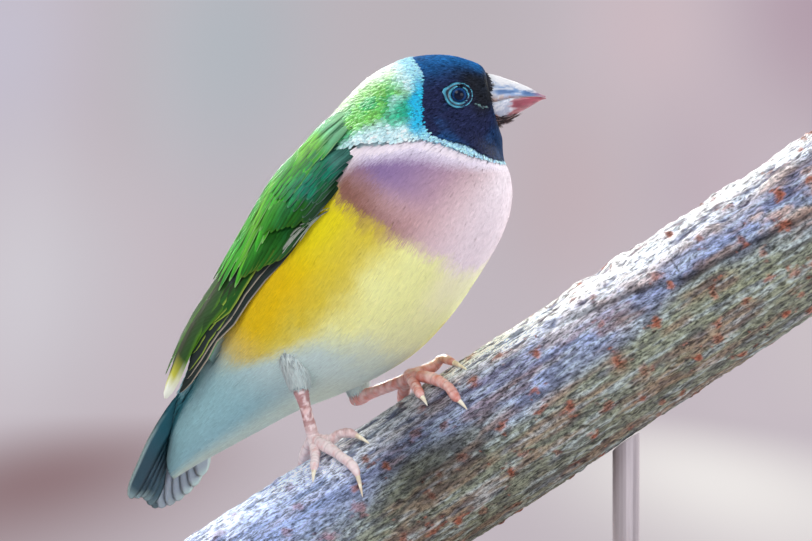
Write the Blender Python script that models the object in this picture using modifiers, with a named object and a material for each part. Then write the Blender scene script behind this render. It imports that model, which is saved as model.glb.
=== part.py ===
"""A Gouldian finch gripping a cut length of branch, on a plain display stand.

Lengths are in millimetres and angles in degrees; MM turns a length into metres.
The origin is the centre of the base's underside, +X runs the way the bill points,
+Y runs away from the side that is seen, and +Z is up.
"""

import math
import random

import bmesh
import bpy
from mathutils import Matrix, Vector

MM = 0.001
GAP = 0.3

# The body is a row of oval sections. Each lies across a line from the back to the breast,
# both given as (forward, up) in the bird's own middle plane, and that plane turns about
# the upright axis of the neck, because the head looks along X and the body does not.
NECK_X = -8.65
NECK_Y = -9.0
STATIONS = (
    # name, (forward, up) of the back, (forward, up) of the breast, half width, turn
    ("bill_root", (11.7, 129.0), (13.4, 119.4), 4.5, 0),
    ("lores", (10.6, 130.3), (14.1, 118.4), 5.7, 0),
    ("brow", (8.3, 131.3), (14.7, 116.7), 6.7, 0),
    ("crown", (5.2, 132.1), (14.8, 114.8), 7.4, 0),
    ("rear_crown", (1.5, 132.3), (14.9, 113.3), 7.9, 0),
    ("nape", (-2.3, 131.8), (15.2, 111.9), 8.7, 4),
    ("hind_neck", (-6.2, 130.3), (16.0, 110.2), 10.2, 11),
    ("neck", (-10.9, 127.7), (16.7, 107.9), 12.5, 20),
    ("collar", (-15.9, 123.4), (17.0, 104.6), 14.9, 28),
    ("shoulders", (-20.9, 118.6), (16.0, 100.2), 16.8, 33),
    ("breast", (-25.9, 113.0), (13.2, 95.2), 18.2, 35),
    ("chest", (-31.0, 106.9), (8.2, 88.6), 18.8, 35),
    ("waist", (-35.4, 100.5), (2.2, 81.5), 18.6, 35),
    ("belly", (-39.6, 94.4), (-5.1, 75.0), 17.4, 35),
    ("flank", (-43.5, 88.6), (-13.4, 70.4), 15.3, 35),
    ("vent", (-47.2, 83.0), (-22.3, 66.9), 12.6, 35),
    ("rump", (-51.2, 77.2), (-31.1, 64.0), 9.8, 35),
    ("tail_base", (-54.6, 71.3), (-39.7, 60.2), 7.4, 35),
    ("coverts", (-57.6, 66.3), (-47.8, 56.5), 5.4, 35),
    ("coverts_end", (-59.6, 61.1), (-54.3, 53.5), 3.4, 35),
    ("coverts_tip", (-60.4, 56.2), (-59.4, 50.8), 1.6, 35),
)
RING_SIDES = 28
RING_STEP = 0.5
HEAD_CUT = 5.8
NECK_CUT = 8.2
TAIL_CUT = 16.7

# Bill, in the head's middle plane: places along it as (forward, culmen, gape, keel, half width).
BILL = (
    (11.9, 128.9, 123.3, 119.5, 4.3),
    (13.6, 128.7, 123.4, 119.7, 4.1),
    (15.8, 128.0, 124.0, 120.5, 3.6),
    (18.0, 127.2, 124.2, 121.5, 2.9),
    (20.2, 126.2, 124.4, 122.6, 2.0),
    (22.0, 125.1, 124.4, 123.6, 1.1),
    (23.2, 124.5, 124.2, 123.95, 0.35),
)
BILL_SLANT = 0.17
NOSTRIL = (12.9, 126.6, 0.5)

EYE_FORWARD, EYE_UP, EYE_SIDE = 6.5, 124.6, 6.0
EYE_RADIUS = 2.25
LID_LENGTH, LID_HEIGHT, LID_THICK = 2.05, 1.75, 0.42

# Wings lie in the body's own surface: `along` counts stations and `round` is degrees from
# the middle of the back. Behind the flank the wing keeps wider than the narrowing body.
WING_INSET = 1.5
WING_START, WING_CORE_END = 8.7, 15.2
WING_LOW_EDGE = (
    (8.7, 60), (9.2, 72), (9.9, 77), (10.7, 80), (11.3, 78), (12.1, 70), (13.1, 63), (14.0, 64),
    (14.8, 72), (15.5, 78), (17.6, 62),
)
WING_TOP_EDGE = ((8.7, 40), (9.2, 27), (10.5, 14), (12.5, 9), (15.0, 7), (17.6, 6))
WING_REAR = ((14.0, 15.3, 17.5), (15.0, 13.6, 11.6), (16.0, 11.8, 9.6), (17.0, 9.9, 7.8), (18.0, 8.2, 6.2))
WING_LIFT = ((9.0, 0.3), (10.5, 1.0), (12.4, 1.3), (14.0, 1.9), (16.4, 2.0), (18.0, 2.3))
VANE_THICK = 0.55
VANE_TIP_THICK = 0.35
VANE_FULL = 0.55
VANE_BLUNT = 0.45

TAIL_ROOT = (-55.2, 72.0)
TAIL_DIP = 72.5
TAIL_TURN = 35
# Feather lengths from the middle pair outward; the fan is opened more on the right.
RECTRIX_RIGHT = (28.4, 27.8, 27.0, 26.6, 27.2, 27.8)
RECTRIX_LEFT = (28.4, 28.0, 27.3, 26.3, 25.1, 23.4)
RECTRIX_START = 4.2
RECTRIX_SUNK = 1.2
RECTRIX_STEP = 0.38
RECTRIX_SPREAD = 4.2
TAIL_LEAN = -1.0

PERCH_X, PERCH_Z = 5.77, 60.5
PERCH_SLOPE = 33.1
PERCH_RADIUS = 15.15
PERCH_TAPER = -0.0062
PERCH_FROM, PERCH_TO = -68.0, 84.0
PERCH_SIDES = 24
PERCH_RINGS = 11

BASE_SIZE = (124.0, 84.0, 8.0)
BASE_BEVEL = 1.6
ROD_RADIUS = 2.6
ROD_X = {"left": -20.0, "right": 30.0}

SEED = 18


def empty_scene():
    for obj in list(bpy.data.objects):
        bpy.data.objects.remove(obj)


def collection(name):
    made = bpy.data.collections.new(name)
    bpy.context.scene.collection.children.link(made)
    return made


def material(name, colour, roughness, metallic=0.0):
    made = bpy.data.materials.new(name)
    made.use_nodes = True
    shader = made.node_tree.nodes["Principled BSDF"]
    shader.inputs["Base Color"].default_value = (*colour, 1)
    shader.inputs["Roughness"].default_value = roughness
    shader.inputs["Metallic"].default_value = metallic
    return made


def mix(a, b, part):
    return a + (b - a) * part


def along_table(table, place):
    """The values of a table whose rows start with a place, read between its rows."""
    rows = list(table)
    if place <= rows[0][0]:
        return rows[0][1:]
    for low, high in zip(rows, rows[1:]):
        if place <= high[0]:
            part = (place - low[0]) / (high[0] - low[0])
            return tuple(mix(a, b, part) for a, b in zip(low[1:], high[1:]))
    return rows[-1][1:]


def object_from(bm, name, group, colour=None, smooth=True):
    """A new object from a bmesh in millimetres, with its faces turned outward."""
    bmesh.ops.recalc_face_normals(bm, faces=bm.faces)
    mesh = bpy.data.meshes.new(name)
    bm.to_mesh(mesh)
    bm.free()
    mesh.transform(Matrix.Scale(MM, 4))
    obj = bpy.data.objects.new(name, mesh)
    group.objects.link(obj)
    if colour:
        mesh.materials.append(colour)
    if smooth:
        mesh.shade_smooth()
    return obj


def loft(rings):
    """A closed bmesh through rings of equally many points, with a fan at each end."""
    bm = bmesh.new()
    rows = [[bm.verts.new(point) for point in ring] for ring in rings]
    sides = len(rings[0])
    for low, high in zip(rows, rows[1:]):
        for i in range(sides):
            j = (i + 1) % sides
            bm.faces.new((low[i], low[j], high[j], high[i]))
    for row in (rows[0], rows[-1]):
        middle = bm.verts.new(sum((v.co for v in row), Vector()) / sides)
        for i in range(sides):
            bm.faces.new((row[i], row[(i + 1) % sides], middle))
    return bm


def evaluated_copy(obj, name):
    graph = bpy.context.evaluated_depsgraph_get()
    mesh = bpy.data.meshes.new_from_object(obj.evaluated_get(graph))
    copy = bpy.data.objects.new(name, mesh)
    copy.matrix_world = obj.matrix_world
    return copy


def largest_surface(obj):
    """Drops every closed surface of the mesh but the one that holds the most."""
    bm = bmesh.new()
    bm.from_mesh(obj.data)
    left, shells = set(bm.faces), []
    while left:
        front = [left.pop()]
        shell = list(front)
        while front:
            face = front.pop()
            near = {other for edge in face.edges for other in edge.link_faces} & left
            left -= near
            front += near
            shell += near
        shells.append(shell)
    def held(shell):
        return sum(face.verts[0].co.dot(face.normal) * face.calc_area() for face in shell)
    keep = max(shells, key=held)
    for shell in shells:
        if shell is not keep:
            bmesh.ops.delete(bm, geom=shell, context="FACES")
    bmesh.ops.triangulate(bm, faces=bm.faces)
    bm.to_mesh(obj.data)
    bm.free()


def boolean(obj, pieces, operation, solver="EXACT"):
    """Applies one Boolean with a collection of closed meshes, which are then removed."""
    group = collection("operands")
    for piece in pieces:
        for old in list(piece.users_collection):
            old.objects.unlink(piece)
        group.objects.link(piece)
    cut = obj.modifiers.new("Boolean", "BOOLEAN")
    cut.operation = operation
    cut.operand_type = "COLLECTION"
    cut.collection = group
    cut.solver = solver
    done = evaluated_copy(obj, "done")
    obj.modifiers.clear()
    obj.data = done.data
    bpy.data.objects.remove(done)
    for piece in list(group.objects):
        bpy.data.objects.remove(piece)
    bpy.data.collections.remove(group)
    largest_surface(obj)
    return obj


def keep_side(obj, point, normal):
    """Cuts the object by a plane and keeps what lies against the normal, with a flat cap."""
    bm = bmesh.new()
    bm.from_mesh(obj.data)
    geometry = bm.verts[:] + bm.edges[:] + bm.faces[:]
    cut = bmesh.ops.bisect_plane(
        bm, geom=geometry, plane_co=point * MM, plane_no=normal, clear_outer=True, dist=1e-7
    )
    rim = [item for item in cut["geom_cut"] if isinstance(item, bmesh.types.BMEdge)]
    bmesh.ops.contextual_create(bm, geom=rim)
    bmesh.ops.triangulate(bm, faces=[face for face in bm.faces if len(face.verts) > 4])
    bmesh.ops.recalc_face_normals(bm, faces=bm.faces)
    bm.to_mesh(obj.data)
    bm.free()


def tube(name, points, radii, group, colour=None, sides=2):
    """A round-ended rod through the points, from a curve made into a mesh."""
    curve = bpy.data.curves.new(name, "CURVE")
    curve.dimensions = "3D"
    curve.bevel_depth = MM
    curve.bevel_resolution = sides
    curve.use_fill_caps = True
    spline = curve.splines.new("POLY")
    spline.points.add(len(points) - 1)
    for place, point, radius in zip(spline.points, points, radii):
        place.co = (*(Vector(point) * MM), 1)
        place.radius = radius
    rod = bpy.data.objects.new(name, curve)
    group.objects.link(rod)
    made = evaluated_copy(rod, name + "_mesh")
    bpy.data.objects.remove(rod)
    bm = bmesh.new()
    bm.from_mesh(made.data)
    bmesh.ops.remove_doubles(bm, verts=bm.verts, dist=1e-7)
    bmesh.ops.recalc_face_normals(bm, faces=bm.faces)
    bm.to_mesh(made.data)
    bm.free()
    made.name = name
    group.objects.link(made)
    if colour:
        made.data.materials.append(colour)
    return made


def smooth_points(points, steps):
    """Points on a Catmull-Rom curve through the given ones."""
    ends = [points[0], *points, points[-1]]
    found = []
    for i in range(1, len(ends) - 2):
        a, b, c, d = (Vector(ends[i + k]) for k in (-1, 0, 1, 2))
        for step in range(steps):
            t = step / steps
            found.append(
                0.5 * (2 * b + (c - a) * t + (2 * a - 5 * b + 4 * c - d) * t * t
                       + (3 * b - a - 3 * c + d) * t ** 3)
            )
    found.append(Vector(points[-1]))
    return found


# Body surface


def station(place):
    """(back, breast, half width, turn) at a place along the body, smoothly between stations."""
    rows = [Vector((*row[1], *row[2], row[3], row[4])) for row in STATIONS]
    place = min(max(place, 0.0), len(rows) - 1.0)
    i = min(int(place), len(rows) - 2)
    t = place - i
    a, b, c, d = rows[max(i - 1, 0)], rows[i], rows[i + 1], rows[min(i + 2, len(rows) - 1)]
    row = 0.5 * (2 * b + (c - a) * t + (2 * a - 5 * b + 4 * c - d) * t * t + (3 * b - a - 3 * c + d) * t ** 3)
    return Vector(row[0:2]), Vector(row[2:4]), row[4], row[5]


def in_world(forward, up, aside, turn):
    """The point at a place in the bird's middle plane, moved `aside` to its right."""
    t = math.radians(turn)
    x = NECK_X + forward * math.cos(t) - aside * math.sin(t)
    y = NECK_Y - forward * math.sin(t) - aside * math.cos(t)
    return Vector((x, y, up))


def body_point(place, degrees, out=0.0):
    """A point of the body's surface; positive degrees go round the bird's right side."""
    back, breast, half_width, turn = station(place)
    half = (back - breast) / 2
    angle = math.radians(degrees)
    flat = (back + breast) / 2 + half * math.cos(angle) * (1 + out / half.length)
    return in_world(flat.x, flat.y, math.sin(angle) * (half_width + out), turn)


def wing_edges(place):
    top = along_table(WING_TOP_EDGE, place)[0]
    low = along_table(WING_LOW_EDGE, place)[0]
    return top, low


def smooth_step(low, high, value):
    t = min(max((value - low) / (high - low), 0.0), 1.0)
    return t * t * (3 - 2 * t)


def wing_bed(place, degrees):
    """How far the body's surface sinks to make room for the folded wing, from 0 to 1."""
    top, low = wing_edges(place)
    round_body = abs(degrees)
    across = smooth_step(top - 8, top - 2, round_body) * (1 - smooth_step(low + 4, low + 12, round_body))
    lengthways = smooth_step(WING_START - 0.8, WING_START + 0.1, place) * (1 - smooth_step(16.3, 17.3, place))
    return across * lengthways


def body_ring(place, out=0.0):
    ring = []
    for i in range(RING_SIDES):
        degrees = 360 * i / RING_SIDES
        signed = degrees if degrees <= 180 else degrees - 360
        ring.append(body_point(place, signed, out - WING_INSET * wing_bed(place, signed)))
    return ring


def body_mesh(name, group, colour=None, first=0.0, last=None, out=0.0):
    last = len(STATIONS) - 1 if last is None else last
    count = round((last - first) / RING_STEP)
    places = [first + (last - first) * i / count for i in range(count + 1)]
    return object_from(loft([body_ring(place, out) for place in places]), name, group, colour)


def cut_plane(place):
    """A plane across the body at a place, as a point and a normal that runs tailward."""
    back, breast, _, turn = station(place)
    middle = (back + breast) / 2
    along = back - breast
    t = math.radians(turn)
    aside = Vector((-math.sin(t), -math.cos(t), 0))
    upward = in_world(along.x, along.y, 0, turn) - in_world(0, 0, 0, turn)
    normal = upward.cross(aside).normalized()
    tailward = in_world(-1, -1, 0, turn) - in_world(0, 0, 0, turn)
    return in_world(middle.x, middle.y, 0, turn), normal if normal.dot(tailward) > 0 else -normal


def part_of_body(name, group, colour, front=None, rear=None):
    """The body between two cutting planes, half a gap inside each."""
    obj = body_mesh(name, group, colour)
    if front is not None:
        point, normal = cut_plane(front)
        keep_side(obj, point + normal * GAP / 2, -normal)
    if rear is not None:
        point, normal = cut_plane(rear)
        keep_side(obj, point - normal * GAP / 2, normal)
    return obj


# Head


def eye_centre(side):
    return in_world(EYE_FORWARD, EYE_UP, side * EYE_SIDE, 0)


def eye_ball(name, side, radius, group, colour=None, segments=16):
    bm = bmesh.new()
    bmesh.ops.create_uvsphere(bm, u_segments=segments, v_segments=segments // 2, radius=radius)
    turned = Matrix.Rotation(math.radians(90), 4, "X")
    bmesh.ops.transform(bm, matrix=Matrix.Translation(eye_centre(side)) @ turned, verts=bm.verts)
    return object_from(bm, name, group, colour)


def lid_loop(name, side, group):
    """The raised rim of both lids, pointed at the rear corner, as one closed loop."""
    rings = []
    steps, sides = 20, 5
    for i in range(steps):
        angle = 2 * math.pi * i / steps
        stretch = 1 + 0.28 * max(0.0, -math.cos(angle)) ** 6
        middle = Vector((math.cos(angle) * LID_LENGTH * stretch, 0, math.sin(angle) * LID_HEIGHT))
        outward = Vector((math.cos(angle), 0, math.sin(angle)))
        ring = []
        for k in range(sides):
            turn = 2 * math.pi * k / sides
            ring.append(middle + outward * LID_THICK * math.cos(turn) + Vector((0, LID_THICK * math.sin(turn), 0)))
        rings.append(ring)
    bm = bmesh.new()
    rows = [[bm.verts.new(point) for point in ring] for ring in rings]
    for i in range(steps):
        low, high = rows[i], rows[(i + 1) % steps]
        for k in range(sides):
            j = (k + 1) % sides
            bm.faces.new((low[k], low[j], high[j], high[k]))
    depth = EYE_RADIUS - 0.95
    place = eye_centre(side) + Vector((0, -side * depth, 0))
    bmesh.ops.transform(bm, matrix=Matrix.Translation(place), verts=bm.verts)
    return object_from(bm, name, group)


def make_head(group, colours):
    head = part_of_body("head", group, colours["black_plumage"], rear=HEAD_CUT)
    boolean(head, [lid_loop(f"lid_{side}", side, group) for side in (1, -1)], "UNION")
    boolean(head, [eye_ball(f"socket_{side}", side, EYE_RADIUS + GAP, group) for side in (1, -1)], "DIFFERENCE")
    head.data.materials.clear()
    head.data.materials.append(colours["black_plumage"])
    for name, side in (("eye_right", 1), ("eye_left", -1)):
        eye_ball(name, side, EYE_RADIUS, group, colours["eye"])


def bill_ring(row, upper):
    """A section of one mandible: domed outside and flat along the line of the mouth."""
    forward, culmen, gape, keel, half_width = row
    height = (culmen - gape if upper else gape - keel) - GAP / 2
    sign = 1 if upper else -1
    ring = []
    for i in range(13):
        angle = math.pi * i / 12
        up = sign * (GAP / 2 + height * math.sin(angle) ** 0.9)
        ring.append(in_world(forward - BILL_SLANT * (gape + up - 124.0), gape + up, half_width * math.cos(angle), 0))
    ring.append(in_world(forward - BILL_SLANT * (gape - 124.0), gape + sign * GAP / 2, 0, 0))
    return ring


def make_bill(group, colours):
    for name, upper in (("bill_upper", True), ("bill_lower", False)):
        colour = colours["bill_upper" if upper else "bill_lower"]
        mandible = object_from(loft([bill_ring(row, upper) for row in BILL]), name, group, colour)
        if upper:
            forward, up, radius = NOSTRIL
            holes = []
            for side in (1, -1):
                bm = bmesh.new()
                bmesh.ops.create_icosphere(bm, subdivisions=1, radius=radius)
                place = in_world(forward, up, side * 3.1, 0)
                bmesh.ops.transform(bm, matrix=Matrix.Translation(place), verts=bm.verts)
                holes.append(object_from(bm, f"nostril_{side}", group))
            boolean(mandible, holes, "DIFFERENCE")
        clear = body_mesh("clear_of_head", group, out=0, first=0.0, last=6.0)
        bm = bmesh.new()
        bm.from_mesh(clear.data)
        bmesh.ops.translate(bm, vec=Vector((GAP * MM, 0, 0)), verts=bm.verts)
        bm.to_mesh(clear.data)
        bm.free()
        boolean(mandible, [clear], "DIFFERENCE")


# Wings


def wing_point(place, degrees, out, side):
    """A point over the folded wing's bed; `out` is the height over the body's own surface."""
    back, breast, half_width, turn = station(place)
    inward = (back - breast).normalized()
    depth = (back - breast).length / 2
    if place > WING_REAR[0][0]:
        half_width, depth = along_table(WING_REAR, place)
    angle = math.radians(degrees)
    lift = along_table(WING_LIFT, place)[0] * max(math.cos(angle), 0) ** 0.6
    out += lift
    flat = back - inward * (depth - math.cos(angle) * (depth + out))
    return in_world(flat.x, flat.y, side * math.sin(angle) * (half_width + out), turn)


def vane(name, group, surface, root, tip, half_width, out, rows=4, bow=0.0, tilt=0.0, thick=VANE_THICK):
    """A tapering feather over a surface of (place, degrees, out).

    root and tip are (place, degrees); out is its (root, middle, tip) height; bow pulls its
    middle sideways and tilt lifts one edge over the next feather. Both faces are split
    into the same triangles. Near the tip its thickness comes down to a thin edge.
    """
    bm = bmesh.new()
    top, bottom = [], []
    for i in range(rows + 1):
        f = i / rows
        place = mix(root[0], tip[0], f)
        degrees = mix(root[1], tip[1], f) + bow * math.sin(math.pi * f)
        height = mix(out[0], out[1], f * 2) if f < 0.5 else mix(out[1], out[2], f * 2 - 1)
        shape = mix(0.6, 1.0, math.sin(min(f * 1.9, 1.0) * math.pi / 2))
        if f > VANE_FULL:
            shape = math.sqrt(1 - ((f - VANE_FULL) / (1 - VANE_FULL)) ** 2 * (1 - VANE_BLUNT ** 2))
        deep = mix(thick, VANE_TIP_THICK, max(0.0, f * 2 - 1) ** 0.7)
        reach = (surface(place, degrees + 1, height) - surface(place, degrees - 1, height)).length / 2
        for line, lower in ((top, 0.0), (bottom, deep)):
            turn = half_width * shape / reach
            line.append([
                bm.verts.new(surface(place, degrees + side * turn, height - lower + tilt * side))
                for side in (-1, 1)
            ])
    add = bm.faces.new
    for i in range(rows):
        for line in (top, bottom):
            (a, b), (d, c) = line[i], line[i + 1]
            add((a, b, c))
            add((a, c, d))
        for j in (0, 1):
            a, b, c, d = top[i][j], top[i + 1][j], bottom[i + 1][j], bottom[i][j]
            add((a, b, c))
            add((a, c, d))
    for i in (0, rows):
        (a, b), (d, c) = top[i], bottom[i]
        add((a, b, c))
        add((a, c, d))
    return object_from(bm, name, group)


def wing_core(name, group, side):
    """The thin bed that every wing feather is rooted in, from the bend to the rump."""
    rings = []
    count, across = 10, 5
    for i in range(count + 1):
        place = mix(WING_START, WING_CORE_END, i / count)
        top, low = wing_edges(place)
        closing = smooth_step(0, 1.6, min(i, (count - i) * 1.5 + 0.4))
        middle = (top + low) / 2
        spread = (low - top) / 2 * mix(0.45, 0.94, closing)
        outer, inner = [], []
        for j in range(across + 1):
            degrees = middle + spread * (2 * j / across - 1)
            edge = 1 - abs(2 * j / across - 1) ** 4
            outer.append(wing_point(place, degrees, mix(-0.75, -0.15, edge * closing), side))
            inner.append(wing_point(place, degrees, -WING_INSET + GAP + 0.08, side))
        rings.append(outer + inner[::-1])
    return object_from(loft(rings), name, group)


def row_of(count, first, last, half_width, out, rows, thick, draw, bow=(0, 0), tilt=0.12):
    """Feathers side by side, from first to last, each a (root place, root degrees, tip place,
    tip degrees); the last one lies on top."""
    feathers = []
    for i in range(count):
        part = i / (count - 1)
        root_place, root_round, tip_place, tip_round = (mix(a, b, part) for a, b in zip(first, last))
        tip_place += draw.uniform(-0.07, 0.07)
        wide = mix(half_width[0], half_width[1], part)
        feathers.append((
            (root_place, root_round), (tip_place, tip_round), wide, out, rows, mix(bow[0], bow[1], part), tilt, thick
        ))
    return feathers


def wing_tiers(draw):
    """Every feather of one wing, tier by tier: flight feathers, then three rows of coverts."""
    primaries = row_of(
        7, (11.2, 74, 15.3, 84), (12.0, 58, 17.4, 52), (1.5, 1.9), (-0.6, 0.0, 0.1), 5, 0.55, draw, (-17, -2), 0.05
    )
    secondaries = row_of(4, (11.6, 66, 14.7, 60), (12.0, 46, 15.9, 42), (2.3, 2.4), (-0.5, 0.35, 0.5), 4, 0.8, draw, (-4, 0))
    tertials = row_of(3, (12.3, 38, 17.8, 25), (11.9, 20, 15.6, 16), (2.9, 3.3), (-0.4, 0.8, 1.3), 5, 0.9, draw)
    greater = row_of(6, (10.7, 74, 12.6, 66), (11.4, 30, 13.3, 30), (2.7, 2.9), (-0.5, 0.6, 0.85), 3, 1.2, draw)
    median = row_of(5, (9.7, 76, 11.3, 76), (10.2, 30, 11.9, 30), (3.1, 3.2), (-0.5, 0.7, 0.95), 3, 1.2, draw)
    lesser = row_of(4, (9.1, 70, 10.1, 74), (9.3, 36, 10.6, 32), (3.2, 3.3), (-0.5, 0.6, 0.95), 3, 1.2, draw)
    scapulars = row_of(4, (9.4, 26, 11.2, 26), (12.4, 15, 14.4, 16), (3.3, 3.2), (-0.5, 1.1, 1.35), 3, 1.2, draw)
    return primaries + secondaries + tertials + greater + median + lesser + scapulars


def make_wing(name, side, group, colour):
    draw = random.Random(SEED)
    wing = wing_core(name, group, side)

    def surface(place, degrees, out):
        return wing_point(place, degrees, out, side)

    vanes = [
        vane(f"{name}_{index}", group, surface, *feather)
        for index, feather in enumerate(wing_tiers(draw))
    ]
    boolean(wing, vanes, "UNION", "MANIFOLD")
    boolean(wing, [body_mesh("clear_of_body", group, out=GAP)], "DIFFERENCE", "MANIFOLD")
    wing.data.materials.clear()
    wing.data.materials.append(colour)
    wing.data.shade_smooth()
    return wing


# Tail


def tail_point(along, aside, out):
    """A place on the tail's plane: along it from its root, aside to the right, out over its back."""
    dip = math.radians(TAIL_DIP)
    forward = TAIL_ROOT[0] - along * math.cos(dip) - out * math.sin(dip)
    up = TAIL_ROOT[1] - along * math.sin(dip) + out * math.cos(dip)
    return in_world(forward, up, aside, TAIL_TURN)


def rectrix(name, group, index, side):
    """One tail feather; index 0 is the middle pair, and each further one lies lower."""
    angle = math.radians(side * (index + 0.5) * RECTRIX_SPREAD + TAIL_LEAN)
    length = (RECTRIX_RIGHT if side > 0 else RECTRIX_LEFT)[index]
    half_width = 2.3 - 0.1 * index

    def surface(along, aside, out):
        x = aside * math.cos(angle) + along * math.sin(angle) + side * 0.4 * index
        y = along * math.cos(angle) - aside * math.sin(angle)
        return tail_point(y, x, out)

    low = -RECTRIX_STEP * (index if side > 0 else index + 0.4)
    out = (low - RECTRIX_SUNK, low - 0.1, low - 0.3)
    return vane(name, group, surface, (RECTRIX_START, 0.0), (length, 0.0), half_width, out, 4, 0.0, 0.06 * side)


def covert_vane(name, group, start, end, degrees, half_width, out):
    return vane(name, group, body_point, (start, degrees), (end, degrees * 0.9), half_width, out, 3, 0.0, 0.1, 1.0)


def make_tail(group, colour):
    tail = part_of_body("tail", group, colour, front=TAIL_CUT)
    vanes = []
    for index in range(len(RECTRIX_RIGHT)):
        for side in (1, -1):
            vanes.append(rectrix(f"rectrix_{index}_{side}", group, index, side))
    for i in range(5):
        degrees = -48 + 24 * i
        end = 18.9 - 0.006 * abs(degrees)
        vanes.append(covert_vane(f"upper_covert_{i}", group, 17.2, end, degrees, 1.9, (-0.5, 0.4, 0.8)))
    for i in range(4):
        degrees = 180 + (-36 + 24 * i)
        vanes.append(covert_vane(f"under_covert_{i}", group, 17.3, 19.4, degrees, 1.8, (-0.5, 0.3, 0.55)))
    boolean(tail, vanes, "UNION", "MANIFOLD")
    clear = body_mesh("clear_of_body", group)
    point, normal = cut_plane(TAIL_CUT)
    keep_side(clear, point + normal * GAP / 2, normal)
    boolean(tail, [clear], "DIFFERENCE", "MANIFOLD")
    tail.data.materials.clear()
    tail.data.materials.append(colour)
    return tail


# Perch and feet


def perch_radius(along, degrees):
    """Bark is a little uneven, with a low knot on the seen side towards the upper end."""
    swell = 0.22 * math.sin(along / 9.0 + 1.3) * math.cos(math.radians(2 * degrees) + along / 31.0)
    knot = 0.9 * math.exp(-((along - 52.0) / 7.0) ** 2 - ((degrees - 62.0) / 30.0) ** 2)
    return PERCH_RADIUS + PERCH_TAPER * along + swell + knot


def perch_point(along, degrees, out):
    """A place on the perch: along its axis, degrees from its top towards the seen side."""
    slope, angle = math.radians(PERCH_SLOPE), math.radians(degrees)
    axis = Vector((math.cos(slope), 0, math.sin(slope)))
    top = Vector((-math.sin(slope), 0, math.cos(slope)))
    radial = top * math.cos(angle) + Vector((0, -1, 0)) * math.sin(angle)
    return Vector((PERCH_X, 0, PERCH_Z)) + axis * along + radial * (perch_radius(along, degrees) + out)


def make_perch(group, name="perch", colour=None, out=0.0):
    rings = []
    for i in range(PERCH_RINGS + 1):
        along = mix(PERCH_FROM, PERCH_TO, i / PERCH_RINGS)
        rings.append([
            perch_point(along, (360 * k / PERCH_SIDES + 180) % 360 - 180, out) for k in range(PERCH_SIDES)
        ])
    return object_from(loft(rings), name, group, colour)


TOES = {
    # places on the perch as (along, degrees, height over the toe's own resting height)
    "right": {
        "hind": ((-31.6, -2, 1.2), (-34.0, -14, 0.1), (-35.8, -30, 0), (-36.6, -46, 0), (-36.4, -60, 0.1)),
        "inner": ((-30.6, 6, 1.2), (-28.4, 14, 0.2), (-26.2, 19, 0.7), (-24.2, 25, 0.2), (-22.2, 40, -0.6)),
        "middle": ((-31.0, 10, 1.2), (-29.6, 24, 0.3), (-28.4, 41, 0.1), (-27.4, 57, 0.1), (-28.9, 75, -0.6)),
        "outer": ((-31.3, 10, 1.1), (-32.0, 18, 0.2), (-32.8, 27, 0.1), (-33.8, 34, 0), (-35.4, 41, -0.6)),
    },
    "left": {
        "hind": ((-9.8, -2, 0.9), (-11.6, -14, 0), (-12.9, -28, 0), (-13.6, -44, 0), (-13.8, -58, 0.1)),
        "inner": ((-9.0, 6, 1.2), (-9.0, 16, 0.1), (-9.1, 24, 0.1), (-9.1, 31, 0), (-9.0, 39, -0.6)),
        "middle": ((-8.6, 4, 1.3), (-5.6, 24, 0.2), (-3.9, 41, 0.1), (-3.7, 53, 0.1), (-3.0, 62, -0.6)),
        "outer": ((-8.0, 2, 1.3), (-4.4, -3, 0.5), (-2.0, -3, 0.9), (-0.8, 10, 0.1), (1.2, 30, -0.6)),
    },
}
TOE_RADII = {"hind": (1.2, 1.1, 1.0, 0.85, 0.3), "inner": (1.15, 1.0, 0.95, 0.8, 0.25),
             "middle": (1.25, 1.1, 1.0, 0.85, 0.25), "outer": (1.15, 1.0, 0.9, 0.75, 0.25)}

ANKLE = {"right": Vector((-32.4, -4.0, 67.6)), "left": Vector((-21.2, 10.2, 66.6))}
FOOT_HEIGHT = 4.8
HIP = {"right": Vector((-34.0, -5.6, 79.0)), "left": Vector((-24.0, 10.6, 77.0))}
TARSUS_RADII = (1.4, 1.15, 1.1, 1.2)
HEEL_RADIUS = 1.55
THIGH_RADII = (5.4, 5.2, 4.9, 4.4, 3.7, 3.0, 2.4, 1.95, 1.6)


def foot_middle(side):
    along, degrees, _ = TOES[side]["middle"][0]
    return perch_point(along - 0.2, degrees - 3, GAP + 2.0)


def foot_top(side):
    """Where the foot ends and the leg begins, on the line to the ankle."""
    middle = foot_middle(side)
    return middle + (ANKLE[side] - middle).normalized() * FOOT_HEIGHT


def make_foot(side, group, colour):
    """Four toes with their claws, fused to one pad under the end of the leg."""
    pieces = []
    for toe, places in TOES[side].items():
        radii = TOE_RADII[toe]
        points = [
            perch_point(along, degrees, GAP + radius + raised)
            for (along, degrees, raised), radius in zip(places, radii)
        ]
        steps = 2
        fine = smooth_points(points, steps)
        wide = [r.x for r in smooth_points([(r, 0, 0) for r in radii], steps)]
        pieces.append(tube(f"toe_{side}_{toe}", fine, wide, group, sides=1))
    foot, *others = pieces
    foot.name = f"foot_{side}"
    pad_middle = foot_middle(side)
    bm = bmesh.new()
    bmesh.ops.create_icosphere(bm, subdivisions=2, radius=1.7)
    bmesh.ops.transform(bm, matrix=Matrix.Translation(pad_middle), verts=bm.verts)
    others.append(object_from(bm, "pad", group))
    others.append(tube("leg_end", [pad_middle, foot_top(side)], (1.2, 1.15), group))
    boolean(foot, others, "UNION")
    boolean(foot, [make_perch(group, "clear_of_perch", out=GAP)], "DIFFERENCE")
    foot.data.materials.clear()
    foot.data.materials.append(colour)
    return foot


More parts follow.
